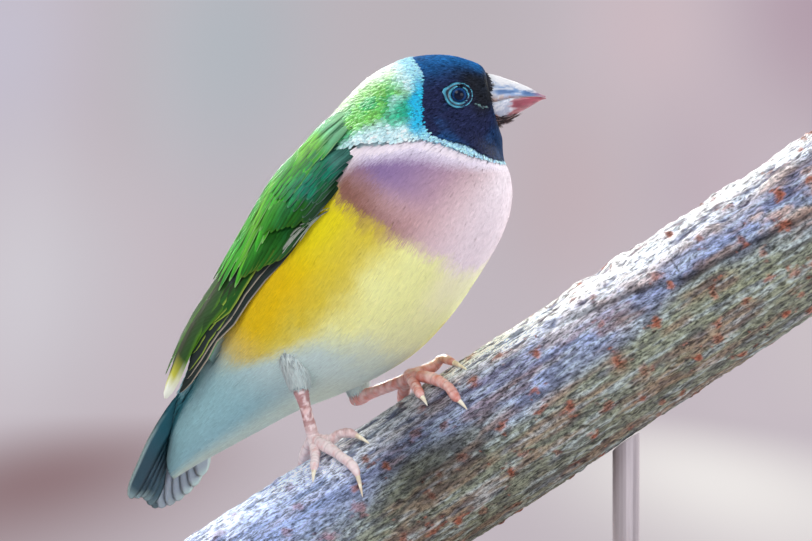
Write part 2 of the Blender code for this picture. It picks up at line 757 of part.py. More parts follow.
def make_leg(side, group, colours, clearance):
    """The bare lower leg with its round heel, and the feathered thigh that ends over it."""
    ankle, top, hip = ANKLE[side], foot_top(side), HIP[side]
    down = (top - ankle).normalized()
    points = [ankle + down * ((top - ankle).length - GAP) * f for f in (0, 0.2, 0.6, 1.0)]
    tarsus = tube(f"tarsus_{side}", points, TARSUS_RADII, group, sides=3)
    bm = bmesh.new()
    bmesh.ops.create_icosphere(bm, subdivisions=2, radius=HEEL_RADIUS)
    bmesh.ops.transform(bm, matrix=Matrix.Translation(ankle), verts=bm.verts)
    boolean(tarsus, [object_from(bm, "heel", group)], "UNION")
    line = (ankle - hip).normalized()
    end = ankle - line * (HEEL_RADIUS + GAP)
    rods = [hip - line * 3, hip, mix(hip, end, 0.45), mix(hip, end, 0.8), end]
    thigh = tube(f"thigh_{side}", smooth_points(rods, 2), THIGH_RADII, group, sides=4)
    boolean(thigh, [clearance], "DIFFERENCE")
    for obj, colour in ((tarsus, colours["leg"]), (thigh, colours["white_plumage"])):
        obj.data.materials.clear()
        obj.data.materials.append(colour)


# Stand


def make_stand(group, colours):
    bm = bmesh.new()
    bmesh.ops.create_cube(bm, size=1.0)
    scale = Matrix.Diagonal((*BASE_SIZE, 1))
    place = Matrix.Translation((0, 0, BASE_SIZE[2] / 2))
    bmesh.ops.transform(bm, matrix=place @ scale, verts=bm.verts)
    base = object_from(bm, "stand_base", group, colours["base"], smooth=False)
    rounded = base.modifiers.new("Bevel", "BEVEL")
    rounded.width = BASE_BEVEL * MM
    rounded.segments = 2
    slope = math.radians(PERCH_SLOPE)
    for name, x in ROD_X.items():
        middle_z = PERCH_Z + (x - PERCH_X) * math.tan(slope)
        bm = bmesh.new()
        low = BASE_SIZE[2] + GAP
        height = middle_z - low
        bmesh.ops.create_cone(
            bm, cap_ends=True, segments=24, radius1=ROD_RADIUS, radius2=ROD_RADIUS, depth=height
        )
        bmesh.ops.translate(bm, vec=Vector((x, 0, low + height / 2)), verts=bm.verts)
        rod = object_from(bm, f"stand_rod_{name}", group, colours["rod"])
        boolean(rod, [make_perch(group, "clear_of_perch", out=GAP)], "DIFFERENCE")
        rod.data.materials.clear()
        rod.data.materials.append(colours["rod"])


def make_finch():
    empty_scene()
    group = collection("gouldian_finch")
    colours = {
        "black_plumage": material("black_plumage", (0.012, 0.016, 0.05), 0.55),
        "neck_plumage": material("neck_plumage", (0.18, 0.36, 0.12), 0.6),
        "body_plumage": material("body_plumage", (0.72, 0.55, 0.12), 0.7),
        "green_plumage": material("green_plumage", (0.08, 0.3, 0.06), 0.55),
        "tail_plumage": material("tail_plumage", (0.05, 0.08, 0.09), 0.55),
        "white_plumage": material("white_plumage", (0.7, 0.72, 0.74), 0.8),
        "eye": material("eye", (0.02, 0.012, 0.01), 0.08),
        "bill_upper": material("bill_upper", (0.72, 0.78, 0.85), 0.3),
        "bill_lower": material("bill_lower", (0.75, 0.45, 0.45), 0.35),
        "leg": material("leg", (0.72, 0.35, 0.3), 0.5),
        "bark": material("bark", (0.16, 0.16, 0.2), 0.85),
        "base": material("base", (0.12, 0.06, 0.03), 0.4),
        "rod": material("rod", (0.55, 0.55, 0.56), 0.3, 1.0),
    }
    make_head(group, colours)
    make_bill(group, colours)
    part_of_body("neck", group, colours["neck_plumage"], front=HEAD_CUT, rear=NECK_CUT)
    part_of_body("torso", group, colours["body_plumage"], front=NECK_CUT, rear=TAIL_CUT)
    make_wing("wing_right", 1, group, colours["green_plumage"])
    make_wing("wing_left", -1, group, colours["green_plumage"])
    make_tail(group, colours["tail_plumage"])
    make_perch(group, colour=colours["bark"])
    for side in ("right", "left"):
        clearance = body_mesh("clear_of_body", group, out=GAP)
        make_leg(side, group, colours, clearance)
        make_foot(side, group, colours["leg"])
    make_stand(group, colours)


make_finch()
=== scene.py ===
"""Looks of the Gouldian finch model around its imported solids. Lengths here are in millimetres."""

import math

import bpy
import numpy as np
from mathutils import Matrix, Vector


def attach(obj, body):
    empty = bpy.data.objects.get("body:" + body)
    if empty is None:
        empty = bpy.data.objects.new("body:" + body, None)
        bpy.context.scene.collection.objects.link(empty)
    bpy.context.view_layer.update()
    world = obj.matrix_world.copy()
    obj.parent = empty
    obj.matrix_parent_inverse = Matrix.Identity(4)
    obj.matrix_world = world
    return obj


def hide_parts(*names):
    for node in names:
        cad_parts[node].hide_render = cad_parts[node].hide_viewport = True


MM = 0.001
SEED = 18
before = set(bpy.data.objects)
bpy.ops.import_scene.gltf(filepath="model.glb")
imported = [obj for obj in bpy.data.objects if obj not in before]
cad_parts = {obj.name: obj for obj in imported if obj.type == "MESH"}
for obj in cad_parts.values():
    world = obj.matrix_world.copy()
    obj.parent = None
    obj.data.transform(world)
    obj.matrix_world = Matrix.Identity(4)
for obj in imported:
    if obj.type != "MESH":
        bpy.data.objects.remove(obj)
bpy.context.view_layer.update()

# The body's own surface, as in the solids: places along it, each with (forward, up) of the
# back and of the breast in the bird's middle plane, the half width, and the turn in degrees.
NECK_X, NECK_Y = -8.65, -9.0
STATIONS = (
    (11.7, 129.0, 13.4, 119.4, 4.5, 0), (10.6, 130.3, 14.1, 118.4, 5.7, 0),
    (8.3, 131.3, 14.7, 116.7, 6.7, 0), (5.2, 132.1, 14.8, 114.8, 7.4, 0),
    (1.5, 132.3, 14.9, 113.3, 7.9, 0), (-2.3, 131.8, 15.2, 111.9, 8.7, 4),
    (-6.2, 130.3, 16.0, 110.2, 10.2, 11), (-10.9, 127.7, 16.7, 107.9, 12.5, 20),
    (-15.9, 123.4, 17.0, 104.6, 14.9, 28), (-20.9, 118.6, 16.0, 100.2, 16.8, 33),
    (-25.9, 113.0, 13.2, 95.2, 18.2, 35), (-31.0, 106.9, 8.2, 88.6, 18.8, 35),
    (-35.4, 100.5, 2.2, 81.5, 18.6, 35), (-39.6, 94.4, -5.1, 75.0, 17.4, 35),
    (-43.5, 88.6, -13.4, 70.4, 15.3, 35), (-47.2, 83.0, -22.3, 66.9, 12.6, 35),
    (-51.2, 77.2, -31.1, 64.0, 9.8, 35), (-54.6, 71.3, -39.7, 60.2, 7.4, 35),
    (-57.6, 66.3, -47.8, 56.5, 5.4, 35), (-59.6, 61.1, -54.3, 53.5, 3.4, 35),
    (-60.4, 56.2, -59.4, 50.8, 1.6, 35),
)
LAST = len(STATIONS) - 1
SKIN_DEPTH = 0.5
THIGH_DEPTH = 0.35
WING_INSET = 1.5
SIDES = (("right", 1), ("left", -1))

# Picture and camera: the photo's scale and the point that its middle looks at.
PHOTO_SIZE = (812, 541)
PX_PER_MM = 5.2
PHOTO_ORIGIN = (470, 744)
CAMERA_AWAY = 3000.0
CAMERA_X = (PHOTO_SIZE[0] / 2 - PHOTO_ORIGIN[0]) / PX_PER_MM
CAMERA_Z = (PHOTO_ORIGIN[1] - PHOTO_SIZE[1] / 2) / PX_PER_MM
SENSOR = 36.0


# Small helpers


def mix(a, b, part):
    return a + (b - a) * part


def ramp(low, high, value):
    """A smooth rise from 0 at low to 1 at high; low may be the larger of the two."""
    t = np.clip((np.asarray(value, float) - low) / (high - low), 0.0, 1.0)
    return t * t * (3 - 2 * t)


def table(rows, place):
    """Values of a table of (place, value) rows, read between its rows."""
    return np.interp(place, *np.array(rows, float).T)


def through(rows, at):
    """Rows of a table at places counted along it, on a smooth curve through them."""
    rows, at = np.array(rows, float), np.asarray(at, float)
    i = np.minimum(at.astype(int), len(rows) - 2)
    t = (at - i)[..., None]
    a, b, c, d = (rows[np.clip(i + k, 0, len(rows) - 1)] for k in (-1, 0, 1, 2))
    straight = 2 * b + (c - a) * t
    return 0.5 * (straight + (2 * a - 5 * b + 4 * c - d) * t * t + (3 * b - a - 3 * c + d) * t ** 3)


def linear(red, green, blue):
    """A colour given as 0 to 255 screen values, as linear light."""
    c = np.array((red, green, blue), float) / 255
    return np.where(c <= 0.04045, c / 12.92, ((c + 0.055) / 1.055) ** 2.4)


def layered(base, *coats):
    """The base colour under coats of (colour, amount), laid on in order."""
    for colour, amount in coats:
        base = base + (np.asarray(colour) - base) * np.asarray(amount)[..., None]
    return base


def length_of(vectors, keepdims=False):
    return np.linalg.norm(vectors, axis=-1, keepdims=keepdims)


def stacked(*columns):
    """Points, or other rows of values, from their columns."""
    return np.stack(np.broadcast_arrays(*columns), -1)


def each(values):
    """One value for each feather, ready to meet the rows and sides of its points."""
    return values[:, None, None]


def grid(places, degrees):
    return np.meshgrid(places, degrees, indexing="ij")


def hashed(lattice):
    """A steady random number from 0 to 1 for each whole-number lattice point."""
    x, y, z = (lattice[..., i].astype(np.int64) for i in range(3))
    h = (x * 374761393 + y * 668265263 + z * 2147483647 + 1013904223) & 0xFFFFFFFF
    h = ((h ^ (h >> 13)) * 1274126177) & 0xFFFFFFFF
    return ((h ^ (h >> 16)) & 0xFFFF) / 65535.0


def noise(points):
    """Smooth noise from -1 to 1 over points (..., 3), one wave per unit."""
    cell = np.floor(points)
    part = points - cell
    part = part * part * (3 - 2 * part)
    total = 0.0
    for corner in range(8):
        step = np.array([(corner >> k) & 1 for k in range(3)])
        total = total + np.prod(np.where(step, part, 1 - part), axis=-1) * hashed(cell + step)
    return total * 2 - 1


def rough(points, octaves=4):
    return sum(noise(points * 2.03 ** k + 17.3 * k) * 0.5 ** k for k in range(octaves))


# Surfaces: each is a function of (place, degrees, height over it) that gives points.


def station(place):
    row = through(STATIONS, np.clip(place, 0, LAST))
    return row[..., 0:2], row[..., 2:4], row[..., 4], row[..., 5]


def in_world(forward, up, aside, turn):
    t = np.radians(turn)
    x = NECK_X + forward * np.cos(t) - aside * np.sin(t)
    y = NECK_Y - forward * np.sin(t) - aside * np.cos(t)
    return stacked(x, y, up)


def body(place, degrees, out=0.0):
    """The body's surface; positive degrees go round the bird's right side from its back."""
    back, breast, half_width, turn = station(place)
    half = (back - breast) / 2
    angle = np.radians(degrees)
    flat = (back + breast) / 2 + half * (np.cos(angle) * (1 + out / length_of(half)))[..., None]
    return in_world(flat[..., 0], flat[..., 1], np.sin(angle) * (half_width + out), turn)


WING_LOW_EDGE = (
    (8.7, 60), (9.2, 72), (9.9, 77), (10.7, 80), (11.3, 78), (12.1, 70), (13.1, 63), (14.0, 64),
    (14.8, 72), (15.5, 78), (17.6, 62),
)
WING_TOP_EDGE = ((8.7, 40), (9.2, 27), (10.5, 14), (12.5, 9), (15.0, 7), (17.6, 6))
WING_REAR = ((14.0, 15.3, 17.5), (15.0, 13.6, 11.6), (16.0, 11.8, 9.6), (17.0, 9.9, 7.8), (18.0, 8.2, 6.2))
WING_LIFT = ((9.0, 0.3), (10.5, 1.0), (12.4, 1.3), (14.0, 1.9), (16.4, 2.0), (18.0, 2.3))


def wing_bed(place, degrees):
    """How far a place lies under the folded wing, from 0 to 1."""
    top, low = table(WING_TOP_EDGE, place), table(WING_LOW_EDGE, place)
    turned = np.abs(degrees)
    across = ramp(0, 6, turned - top + 8) * ramp(8, 0, turned - low - 4)
    return across * ramp(7.9, 8.8, place) * ramp(17.3, 16.3, place)


def wing_surface(side):
    """The body's surface, but slimmer behind and lifted over the back, as the folded wing lies."""
    rear = np.array(WING_REAR).T

    def surface(place, degrees, out=0.0):
        back, breast, half_width, turn = station(place)
        inward = back - breast
        depth = length_of(inward)
        inward = inward / depth[..., None]
        behind = place > rear[0, 0]
        depth = np.where(behind, np.interp(place, rear[0], rear[2]), depth / 2)
        half_width = np.where(behind, np.interp(place, rear[0], rear[1]), half_width)
        angle = np.radians(degrees)
        out = out + table(WING_LIFT, place) * np.maximum(np.cos(angle), 0) ** 0.6
        flat = back - inward * (depth - np.cos(angle) * (depth + out))[..., None]
        return in_world(flat[..., 0], flat[..., 1], side * np.sin(angle) * (half_width + out), turn)

    return surface


# Plumage markings with painted rim light, sheen and shade, the same for skin and coat: colours over (place,
# degrees) on the body.


MASK_EDGE = (
    (0, 4.93), (35, 5.01), (48, 5.06), (62, 5.55), (73, 6.05), (83, 6.43), (89, 6.69), (99, 6.80),
    (106, 6.71), (115, 6.46), (123, 6.19), (134, 6.11), (146, 5.81), (167, 4.89), (180, 4.6),
)
LILAC_TOP = (
    (60, 9.4), (70, 8.61), (82, 8.08), (90, 7.66), (99, 7.16), (109, 6.89), (120, 6.69),
    (128, 6.53), (145, 6.00), (169, 5.16), (180, 4.9),
)
LILAC_LOW = ((70, 9.2), (85, 9.66), (105, 9.89), (133, 10.0), (167, 10.35), (180, 10.5))
LEFT_YELLOW_SHIFT = 40

BLACK = linear(34, 40, 70)
NAVY = linear(32, 96, 156)
LORE = linear(30, 32, 34)
CYAN = linear(22, 180, 226)
BLUE = linear(40, 120, 214)
PALE_BLUE = linear(176, 228, 255)
EMERALD = linear(16, 172, 136)
LIME = linear(112, 186, 72)
MOSS = linear(48, 170, 100)
NAPE_RIM_LIGHT = linear(240, 250, 246)
AQUA = linear(206, 244, 255)
BACK_RIM_LIGHT = linear(210, 236, 194)
GREEN = linear(84, 170, 38)
LILAC = linear(132, 110, 160)
PALE_LILAC = linear(236, 230, 246)
ROSE = linear(198, 164, 168)
PEACH = linear(126, 80, 60)
ROSE_WHITE = linear(250, 240, 246)
GOLD = linear(226, 192, 6)
LIGHT_GOLD = linear(228, 216, 24)
YELLOW = linear(214, 198, 66)
LEMON = linear(240, 246, 170)
PALE_LEMON = linear(255, 255, 214)
CREAM = linear(228, 236, 204)
WHITE = linear(198, 222, 216)
SHADE = linear(136, 182, 188)
TEAL = linear(38, 110, 122)
PAINTED_SHADE = linear(0, 0, 0)


def plumage_and_painted_light(place, degrees):
    """Linear colour at places on the body: the plumage, with painted rim light, sheen and shade."""
    place, degrees = np.broadcast_arrays(np.asarray(place, float), np.asarray(degrees, float))
    turned = np.abs(degrees)
    # lit: the share of painted rim light, full on the near side and a quarter on the far side.
    lit = 0.25 + 0.75 * ramp(-4, 12, (degrees + 180) % 360 - 180)
    spot = body(place, degrees) / 6.0
    wave, fine = rough(spot, 3), rough(spot * 3.1 + 5.0, 2)
    behind, above, below = (place - table(edge, turned) for edge in (MASK_EDGE, LILAC_TOP, LILAC_LOW))
    # Nape and upper back: cyan next to the mask, then emerald, lime and pale green; the pale green over the
    # top of the back and the white over the nape are painted rim light.
    upper = layered(
        MOSS,
        (LIME, ramp(-0.35, 0.5, wave + 0.35 * fine) * 0.8),
        # Painted rim light: pale green over the top of the back, and white over the top of the nape.
        (BACK_RIM_LIGHT, ramp(54, 18, turned + 8 * wave) * 0.92 * lit),
        (NAPE_RIM_LIGHT, ramp(40, 14, turned) * ramp(8.0, 6.0, place) * 0.5 * lit),
        (AQUA, ramp(1.2, 0.5, behind + 0.3 * wave + 0.3 * fine) * ramp(78, 56, turned) * 0.75),
        (EMERALD, ramp(1.3, 0.45, behind + 0.2 * wave) * ramp(56, 68, turned) * 0.9),
        (AQUA, ramp(56, 70, turned) * ramp(-1.7, -0.7, above + 0.3 * fine) * 0.9),
        (AQUA, ramp(78, 92, turned + 4 * fine) * (0.75 + 0.25 * ramp(-0.4, 0.4, wave))),
        (GREEN, ramp(8.2, 9.4, place) * ramp(70, 40, turned)),
        (CYAN, ramp(0.55, 0.2, behind + 0.12 * fine) * mix(1.0, 0.7, ramp(84, 100, turned))),
        (PALE_BLUE, ramp(0.7, 0.3, behind) * ramp(66, 40, turned) * 0.8),
        (PALE_BLUE, ramp(0.6, 0.2, behind) * ramp(88, 104, turned) * 0.95),
        (BLUE, ramp(0.1, 0.0, behind) * ramp(80, 100, turned) * 0.8),
    )
    # Breast: deep lilac at the shoulder, rosy in the middle, nearly white at the front, where the white is
    # painted rim light.
    breast = layered(
        ROSE,
        (LILAC, ramp(9.4, 8.4, place) * ramp(150, 94, turned) * 0.9),
        (PALE_LILAC, ramp(0.95, 0.2, above + 0.1 * wave) * 0.8),
        (PEACH, ramp(-1.2, -0.1, below + 0.2 * wave) * ramp(146, 104, turned) * 0.85),
        # Painted rim light along the breast's front edge.
        (ROSE_WHITE, ramp(124, 172, turned) * 0.85),
        (ROSE_WHITE, ramp(84, 72, turned) * 0.75),
        (ROSE_WHITE, ramp(0.3, 0.05, above + 0.1 * fine) * 0.7),
    )
    # Belly: golden flanks, paler to the middle and white behind; the palest lemon at the front edge is
    # painted rim light, and the blue-grey towards the vent is painted shade.
    shifted = turned - LEFT_YELLOW_SHIFT * ramp(178, 198, degrees % 360) * ramp(10.8, 12.0, place)
    belly = layered(
        GOLD,
        (LIGHT_GOLD, ramp(12.4, 10.4, place)),
        (YELLOW, ramp(88, 112, shifted + 5 * wave)),
        (LEMON, ramp(108, 140, shifted + 6 * wave - 3.0 * (11 - place))),
        (CREAM, ramp(128, 160, shifted + 6 * wave) * ramp(11.3, 13.4, place) * 0.8),
        # Painted rim light along the belly's front edge.
        (PALE_LEMON, ramp(150, 172, turned) * ramp(12.4, 10.6, place) * 0.8),
        (WHITE, ramp(-0.7, 0.7, place + 0.25 * wave - 15.4 + 2.4 * ramp(88, 130, shifted))),
        # Painted shade under the body, towards the vent.
        (SHADE, ramp(13.6, 16.4, place) * 0.9),
        (CREAM, ramp(132, 168, turned) * ramp(13, 15, place) * 0.5),
    )
    # The mask, with a painted blue sheen over the crown and in patches, a brown tone in front of the eye, and
    # painted shade under the throat and at the front by the bill.
    mask = layered(
        BLACK,
        # Painted blue sheen over the crown, and in patches.
        (NAVY, 0.75 * ramp(70, 24, turned) + 0.4 * ramp(-0.3, 0.7, wave)),
        (LORE, ramp(4.0, 2.0, place + 0.4 * wave) * ramp(30, 60, turned) * ramp(118, 95, turned) * 0.9),
        # Painted shade under the throat, and at the front of the head by the bill.
        (PAINTED_SHADE, 0.45 * ramp(112, 150, turned)),
        (PAINTED_SHADE, 0.6 * ramp(1.1, 0.4, place)),
    )
    return layered(
        upper,
        (breast, ramp(-0.05, 0.05, above + 0.05 * fine) * (turned > 60)),
        (belly, ramp(-0.24, 0.3, below + 0.12 * fine) * (turned > 50)),
        (TEAL, ramp(15.4, 16.8, place) * ramp(78, 66, turned)),
        (mask, ramp(0.06, -0.06, behind + 0.05 * fine)),
    )


# Meshes


def mesh_object(name, points, faces, colour, material, maps=None):
    """An object from millimetre points and a list of face index arrays, with its maps."""
    mesh = bpy.data.meshes.new(name)
    mesh.vertices.add(len(points))
    mesh.vertices.foreach_set("co", (np.asarray(points) * MM).astype(np.float32).ravel())
    corners = np.concatenate([f.ravel() for f in faces])
    sizes = np.concatenate([np.full(len(f), f.shape[1]) for f in faces])
    mesh.loops.add(len(corners))
    mesh.loops.foreach_set("vertex_index", corners.astype(np.int32))
    mesh.polygons.add(len(sizes))
    mesh.polygons.foreach_set("loop_start", (np.cumsum(sizes) - sizes).astype(np.int32))
    mesh.update(calc_edges=True)
    if colour is not None:
        paint = mesh.attributes.new("Paint", "FLOAT_COLOR", "POINT")
        rgba = np.concatenate((colour, np.ones((len(colour), 1))), 1)
        paint.data.foreach_set("color", rgba.astype(np.float32).ravel())
    for label, at in (maps or {}).items():
        layer = mesh.uv_layers.new(name=label)
        layer.data.foreach_set("uv", at[corners].astype(np.float32).ravel())
    mesh.shade_smooth()
    mesh.materials.append(material)
    obj = bpy.data.objects.new(name, mesh)
    bpy.context.scene.collection.objects.link(obj)
    return obj


def ring_faces(rings, sides, closed=True):
    """Faces that join successive rings of equally many points."""
    i = np.arange(rings - 1)[:, None] * sides
    j = np.arange(sides if closed else sides - 1)[None, :]
    k = (j + 1) % sides
    return np.stack((i + j, i + k, i + sides + k, i + sides + j), -1).reshape(-1, 4)


def end_fans(first, first_ring, last, last_ring, sides):
    """Triangles from a point at each end to the rings next to them."""
    j = np.arange(sides)
    k = (j + 1) % sides
    low = np.stack((first_ring + k, first_ring + j, first + 0 * j), -1)
    high = np.stack((last_ring + j, last_ring + k, last + 0 * j), -1)
    return np.concatenate((low, high))


def lofted(rings):
    """Points and faces of a closed form through rings (n, sides, 3), with a fan at each end."""
    count, sides, _ = rings.shape
    whole = count * sides
    points = np.concatenate((rings.reshape(-1, 3), rings[[0, -1]].mean(1)))
    return points, [ring_faces(count, sides), end_fans(whole, 0, whole + 1, whole - sides, sides)]


def merged(forms):
    """One set of points and faces from several."""
    points, faces, start = [], [], 0
    for more, its_faces in forms:
        points.append(more)
        faces += [f + start for f in its_faces]
        start += len(more)
    return np.concatenate(points), faces


# Sections of a feather as (across, rise, drop): rise counts half widths, drop counts thickness.
LEAF = ((-1, 0.0, 0.0), (0, 1.0, 0.0), (1, 0.0, 0.0), (0, 0.6, 1.0))
BARB = ((-1, 0.0, 0.35), (0, 1.0, 0.0), (1, 0.0, 0.35))


def steepness(surface, place, degrees, ds, dd):
    """The cross product of the surface's two slopes at places on it."""
    over_s = surface(place + ds, degrees) - surface(place - ds, degrees)
    return np.cross(over_s, surface(place, degrees + dd) - surface(place, degrees - dd))


def outward(surface, place, degrees):
    """The surface's own smooth normal at places on it, and whether it is a mirrored surface."""
    out = surface(place, degrees, 0.5) - surface(place, degrees)
    normal = steepness(surface, place, degrees, 0.05, 1)
    mirrored = surface is not body and (normal * out).sum() > 0
    normal = np.where(length_of(normal, True) < 1e-4, out, normal if mirrored else -normal)
    return normal / np.maximum(length_of(normal, True), 1e-9), mirrored


def end_parts(shape):
    """Parts of the length and of the width along a feather, with its two closed ends."""
    parts, wide = np.array(((0.0, 0.02), *shape, (1.0, 0.02))).T
    return parts, wide


def feathers(surface, root, heading, size, out, colour, shape, section, **look):
    """Many closed feathers over a surface, laid out from their roots.

    root is (n, 2) of place and degrees; heading is in radians from straight back; size is
    (n, 2) of length and half width; out is (n, 3), the height at root, middle and tip; shape is
    rows of (part of the length, part of the width).
    """
    parts, wide = end_parts(shape)
    step = 0.02
    base = surface(*root.T)
    per_place = length_of(surface(root[:, 0] + step, root[:, 1]) - base) / step
    per_degree = length_of(surface(root[:, 0], root[:, 1] + 1.0) - base)
    c, s = each(np.cos(heading)), each(np.sin(heading))
    along = each(size[:, 0]) * parts[:, None]
    across = each(size[:, 1]) * wide[:, None] * np.array(section)[:, 0]
    place = each(root[:, 0]) + (along * c - across * s) / each(np.maximum(per_place, 0.4))
    degrees = each(root[:, 1]) + (along * s + across * c) / each(np.maximum(per_degree, 0.01))
    return closed_feathers(surface, place, degrees, size[:, 1], out, colour, shape, section, **look)


def vanes(surface, root, tip, half_width, out, colour, shape, section, bend=0.0, **look):
    """Long closed feathers over a surface, each from its root to its tip as (place, degrees)."""
    parts, wide = end_parts(shape)
    place, degrees = (mix(root[:, i, None], tip[:, i, None], parts) for i in range(2))
    degrees = degrees + np.asarray(bend)[..., None] * np.sin(np.pi * parts)
    reach = length_of(surface(place, degrees + 1) - surface(place, degrees - 1)) / 2
    across = half_width[:, None] * wide / np.maximum(reach, 0.01)
    place, degrees = place[..., None], degrees[..., None] + across[..., None] * np.array(section)[:, 0]
    return closed_feathers(surface, place, degrees, half_width, out, colour, shape, section, **look)


def closed_feathers(surface, place, degrees, half_width, out, colour, shape, section, camber, thick,
                    bake, tones=(1, 1, 1), tilt=0.0):
    """Arrays of feathers whose points lie at places over a surface.

    colour is (n, 3) or a function of (t, a, points, place, degrees), t along the feather and a
    across it; camber and thick shape its section and tilt raises one edge; bake is the middle of
    each feather's patch on the bake map and the patch's size; tones are (at root, at tip, at edge).
    """
    parts, wide = end_parts(shape)
    n, rows, sides = len(half_width), len(parts), len(section)
    a, rise, drop = np.array(section, float).T
    t, wide = parts[:, None], wide[:, None]
    low, middle, high = (each(out[:, i]) for i in range(3))
    height = np.where(t < 0.5, mix(low, middle, t * 2), mix(middle, high, t * 2 - 1))
    height = height + rise * camber * each(half_width) * wide - drop * thick + tilt * a * wide
    height, place, degrees = np.broadcast_arrays(height, place, degrees)
    points = surface(place, degrees, height).copy()
    # The two end rings are drawn together to single points.
    for end in (0, -1):
        points[:, end] = points[:, end].mean(1, keepdims=True)
    keep = np.r_[0, sides:sides * (rows - 1), sides * (rows - 1)]
    points = points.reshape(n, -1, 3)[:, keep]
    tip = len(keep) - 1
    faces = [ring_faces(rows - 2, sides) + 1, end_fans(0, 1, tip, tip - sides, sides)]
    faces = [(f + each(np.arange(n) * len(keep))).reshape(-1, f.shape[1]) for f in faces]
    t, a = np.repeat(parts, sides)[keep], np.tile(a, rows)[keep]
    if callable(colour):
        colour = colour(t[None], a[None], points, *(v.reshape(n, -1)[:, keep] for v in (place, degrees)))
    else:
        colour = colour[:, None]
    tone = mix(tones[0], tones[1], t) * mix(1.0, tones[2], np.abs(a) ** 3)
    spread = np.stack((a * 0.5, t), -1)
    normal, mirrored = outward(surface, place[..., 0], degrees[..., 0])
    arrays = {
        "points": points, "colour": np.clip(colour * tone[:, None], 0, 1),
        "bake": bake[0][:, None] + (spread - (0, 0.5)) * bake[1],
        "vane": np.broadcast_to(spread + (0.5, 0), (n, len(keep), 2)),
        "facing": np.repeat(normal, sides, axis=1)[:, keep],
    }
    arrays = {key: value.reshape(n * len(keep), -1) for key, value in arrays.items()}
    return arrays, [f[:, ::-1] if mirrored else f for f in faces]


def joined(name, parts, material, soft):
    """One object from several sets of feather arrays; soft shades it like the form under it."""
    stack = {key: np.concatenate([arrays[key] for arrays, _ in parts]) for key in parts[0][0]}
    points, faces = merged([(arrays["points"], faces) for arrays, faces in parts])
    maps = {"OFBake": stack["bake"], "Vane": stack["vane"]}
    obj = mesh_object(name, points, faces, stack["colour"], material, maps)
    own = np.empty(points.size, np.float32)
    obj.data.vertex_normals.foreach_get("vector", own)
    normal = mix(own.reshape(-1, 3), stack["facing"], soft)
    normal /= np.maximum(length_of(normal, True), 1e-9)
    held = obj.data.attributes.new("custom_normal", "FLOAT_VECTOR", "POINT")
    held.data.foreach_set("vector", normal.astype(np.float32).ravel())
    return obj


EVEN_STEPS = (0.7548776662466927, 0.5698402909980532)  # parts of a turn that never fall into rows


def scatter(count, surface, places, degrees, weight, draw):
    """Roots spread evenly over part of a surface by its area times a weight."""
    s, d = np.linspace(*places, 220), np.linspace(*degrees, 300)
    cells = grid(s, d)
    area = length_of(steepness(surface, *cells, (s[1] - s[0]) / 2, (d[1] - d[0]) / 2)) * weight(*cells)
    rows = area.sum(1).cumsum()
    first, second = ((0.5 + np.arange(count) * step) % 1.0 for step in EVEN_STEPS)
    at = np.interp(first, rows / rows[-1], np.arange(len(s)))
    row = np.round(at).astype(int)
    lines = area.cumsum(1) + 1e-12 * np.arange(len(d))
    found = np.empty(count)
    for i in np.unique(row):
        found[row == i] = np.interp(second[row == i], lines[i] / lines[i, -1], d)
    jitter = draw.normal(0, 1, (count, 2)) * (0.03, 0.5)
    return stacked(np.interp(at, np.arange(len(s)), s), found) + jitter


# Materials


def set_inputs(tree, made, inputs):
    """Inputs of a shader node: a value is set and another node's output is linked."""
    for key, value in inputs.items():
        if isinstance(value, bpy.types.NodeSocket):
            tree.links.new(value, made.inputs[key])
        else:
            made.inputs[key].default_value = value


def node(tree, kind, inputs=None, out=0, **settings):
    """One output of a new shader node."""
    made = tree.nodes.new("ShaderNode" + kind)
    for key, value in settings.items():
        setattr(made, key, value)
    set_inputs(tree, made, inputs or {})
    return made.outputs[out]


def new_material(name, inputs):
    made = bpy.data.materials.new(name)
    made.use_nodes = True
    tree = made.node_tree
    shader = tree.nodes["Principled BSDF"]
    set_inputs(tree, shader, inputs)
    return made, tree, shader


def noise_over(tree, scale, detail, mapping=None, roughness=0.5, **settings):
    """Fine noise over the object's own space, stretched by a mapping."""
    place = node(tree, "TexCoord", out="Object")
    if mapping:
        place = node(tree, "Mapping", {"Vector": place, **mapping}, **settings)
    return node(tree, "TexNoise", {"Vector": place, "Scale": scale, "Detail": detail, "Roughness": roughness})


def toned(tree, colour, grain, low, high, **bounds):
    """A colour made darker and lighter where the grain is low and high."""
    span = {key.replace("_", " "): value for key, value in bounds.items()}
    tone = node(tree, "MapRange", {"Value": grain, "To Min": low, "To Max": high, **span})
    return node(tree, "VectorMath", {0: colour, 1: tone}, operation="MULTIPLY")


def bump(tree, shader, height, strength, depth):
    relief = node(tree, "Bump", {"Strength": strength, "Distance": depth * MM, "Height": height})
    set_inputs(tree, shader, {"Normal": relief})


def barbs(tree, count, slant):
    """Fine slanting lines on either side of a feather's shaft."""
    def worked(operation, *values):
        return node(tree, "Math", dict(enumerate(values)), operation=operation)

    x = node(tree, "SeparateXYZ", {"Vector": node(tree, "UVMap", uv_map="Vane")}, out="X")
    aside = worked("ABSOLUTE", worked("SUBTRACT", x, 0.5))
    lean = worked("MULTIPLY", aside, slant)
    return worked("SINE", worked("MULTIPLY_ADD", x.node.outputs["Y"], count, lean))


def painted(name, inputs, low, high, scale, strength=0.3, depth=0.05, lines=None):
    """A surface in its painted markings, toned and raised a little by noise or by barbs."""
    made, tree, shader = new_material(name, inputs)
    grain = noise_over(tree, scale, 4.0)
    paint = node(tree, "Attribute", attribute_name="Paint")
    set_inputs(tree, shader, {"Base Color": toned(tree, paint, grain, low, high)})
    if depth:
        bump(tree, shader, barbs(tree, *lines) if lines else grain, strength, depth)
    return made


def feathery(roughness, sheen=0.0, specular=0.35):
    return {
        "Roughness": roughness, "Specular IOR Level": specular, "Sheen Weight": sheen, "Sheen Roughness": 0.5,
    }


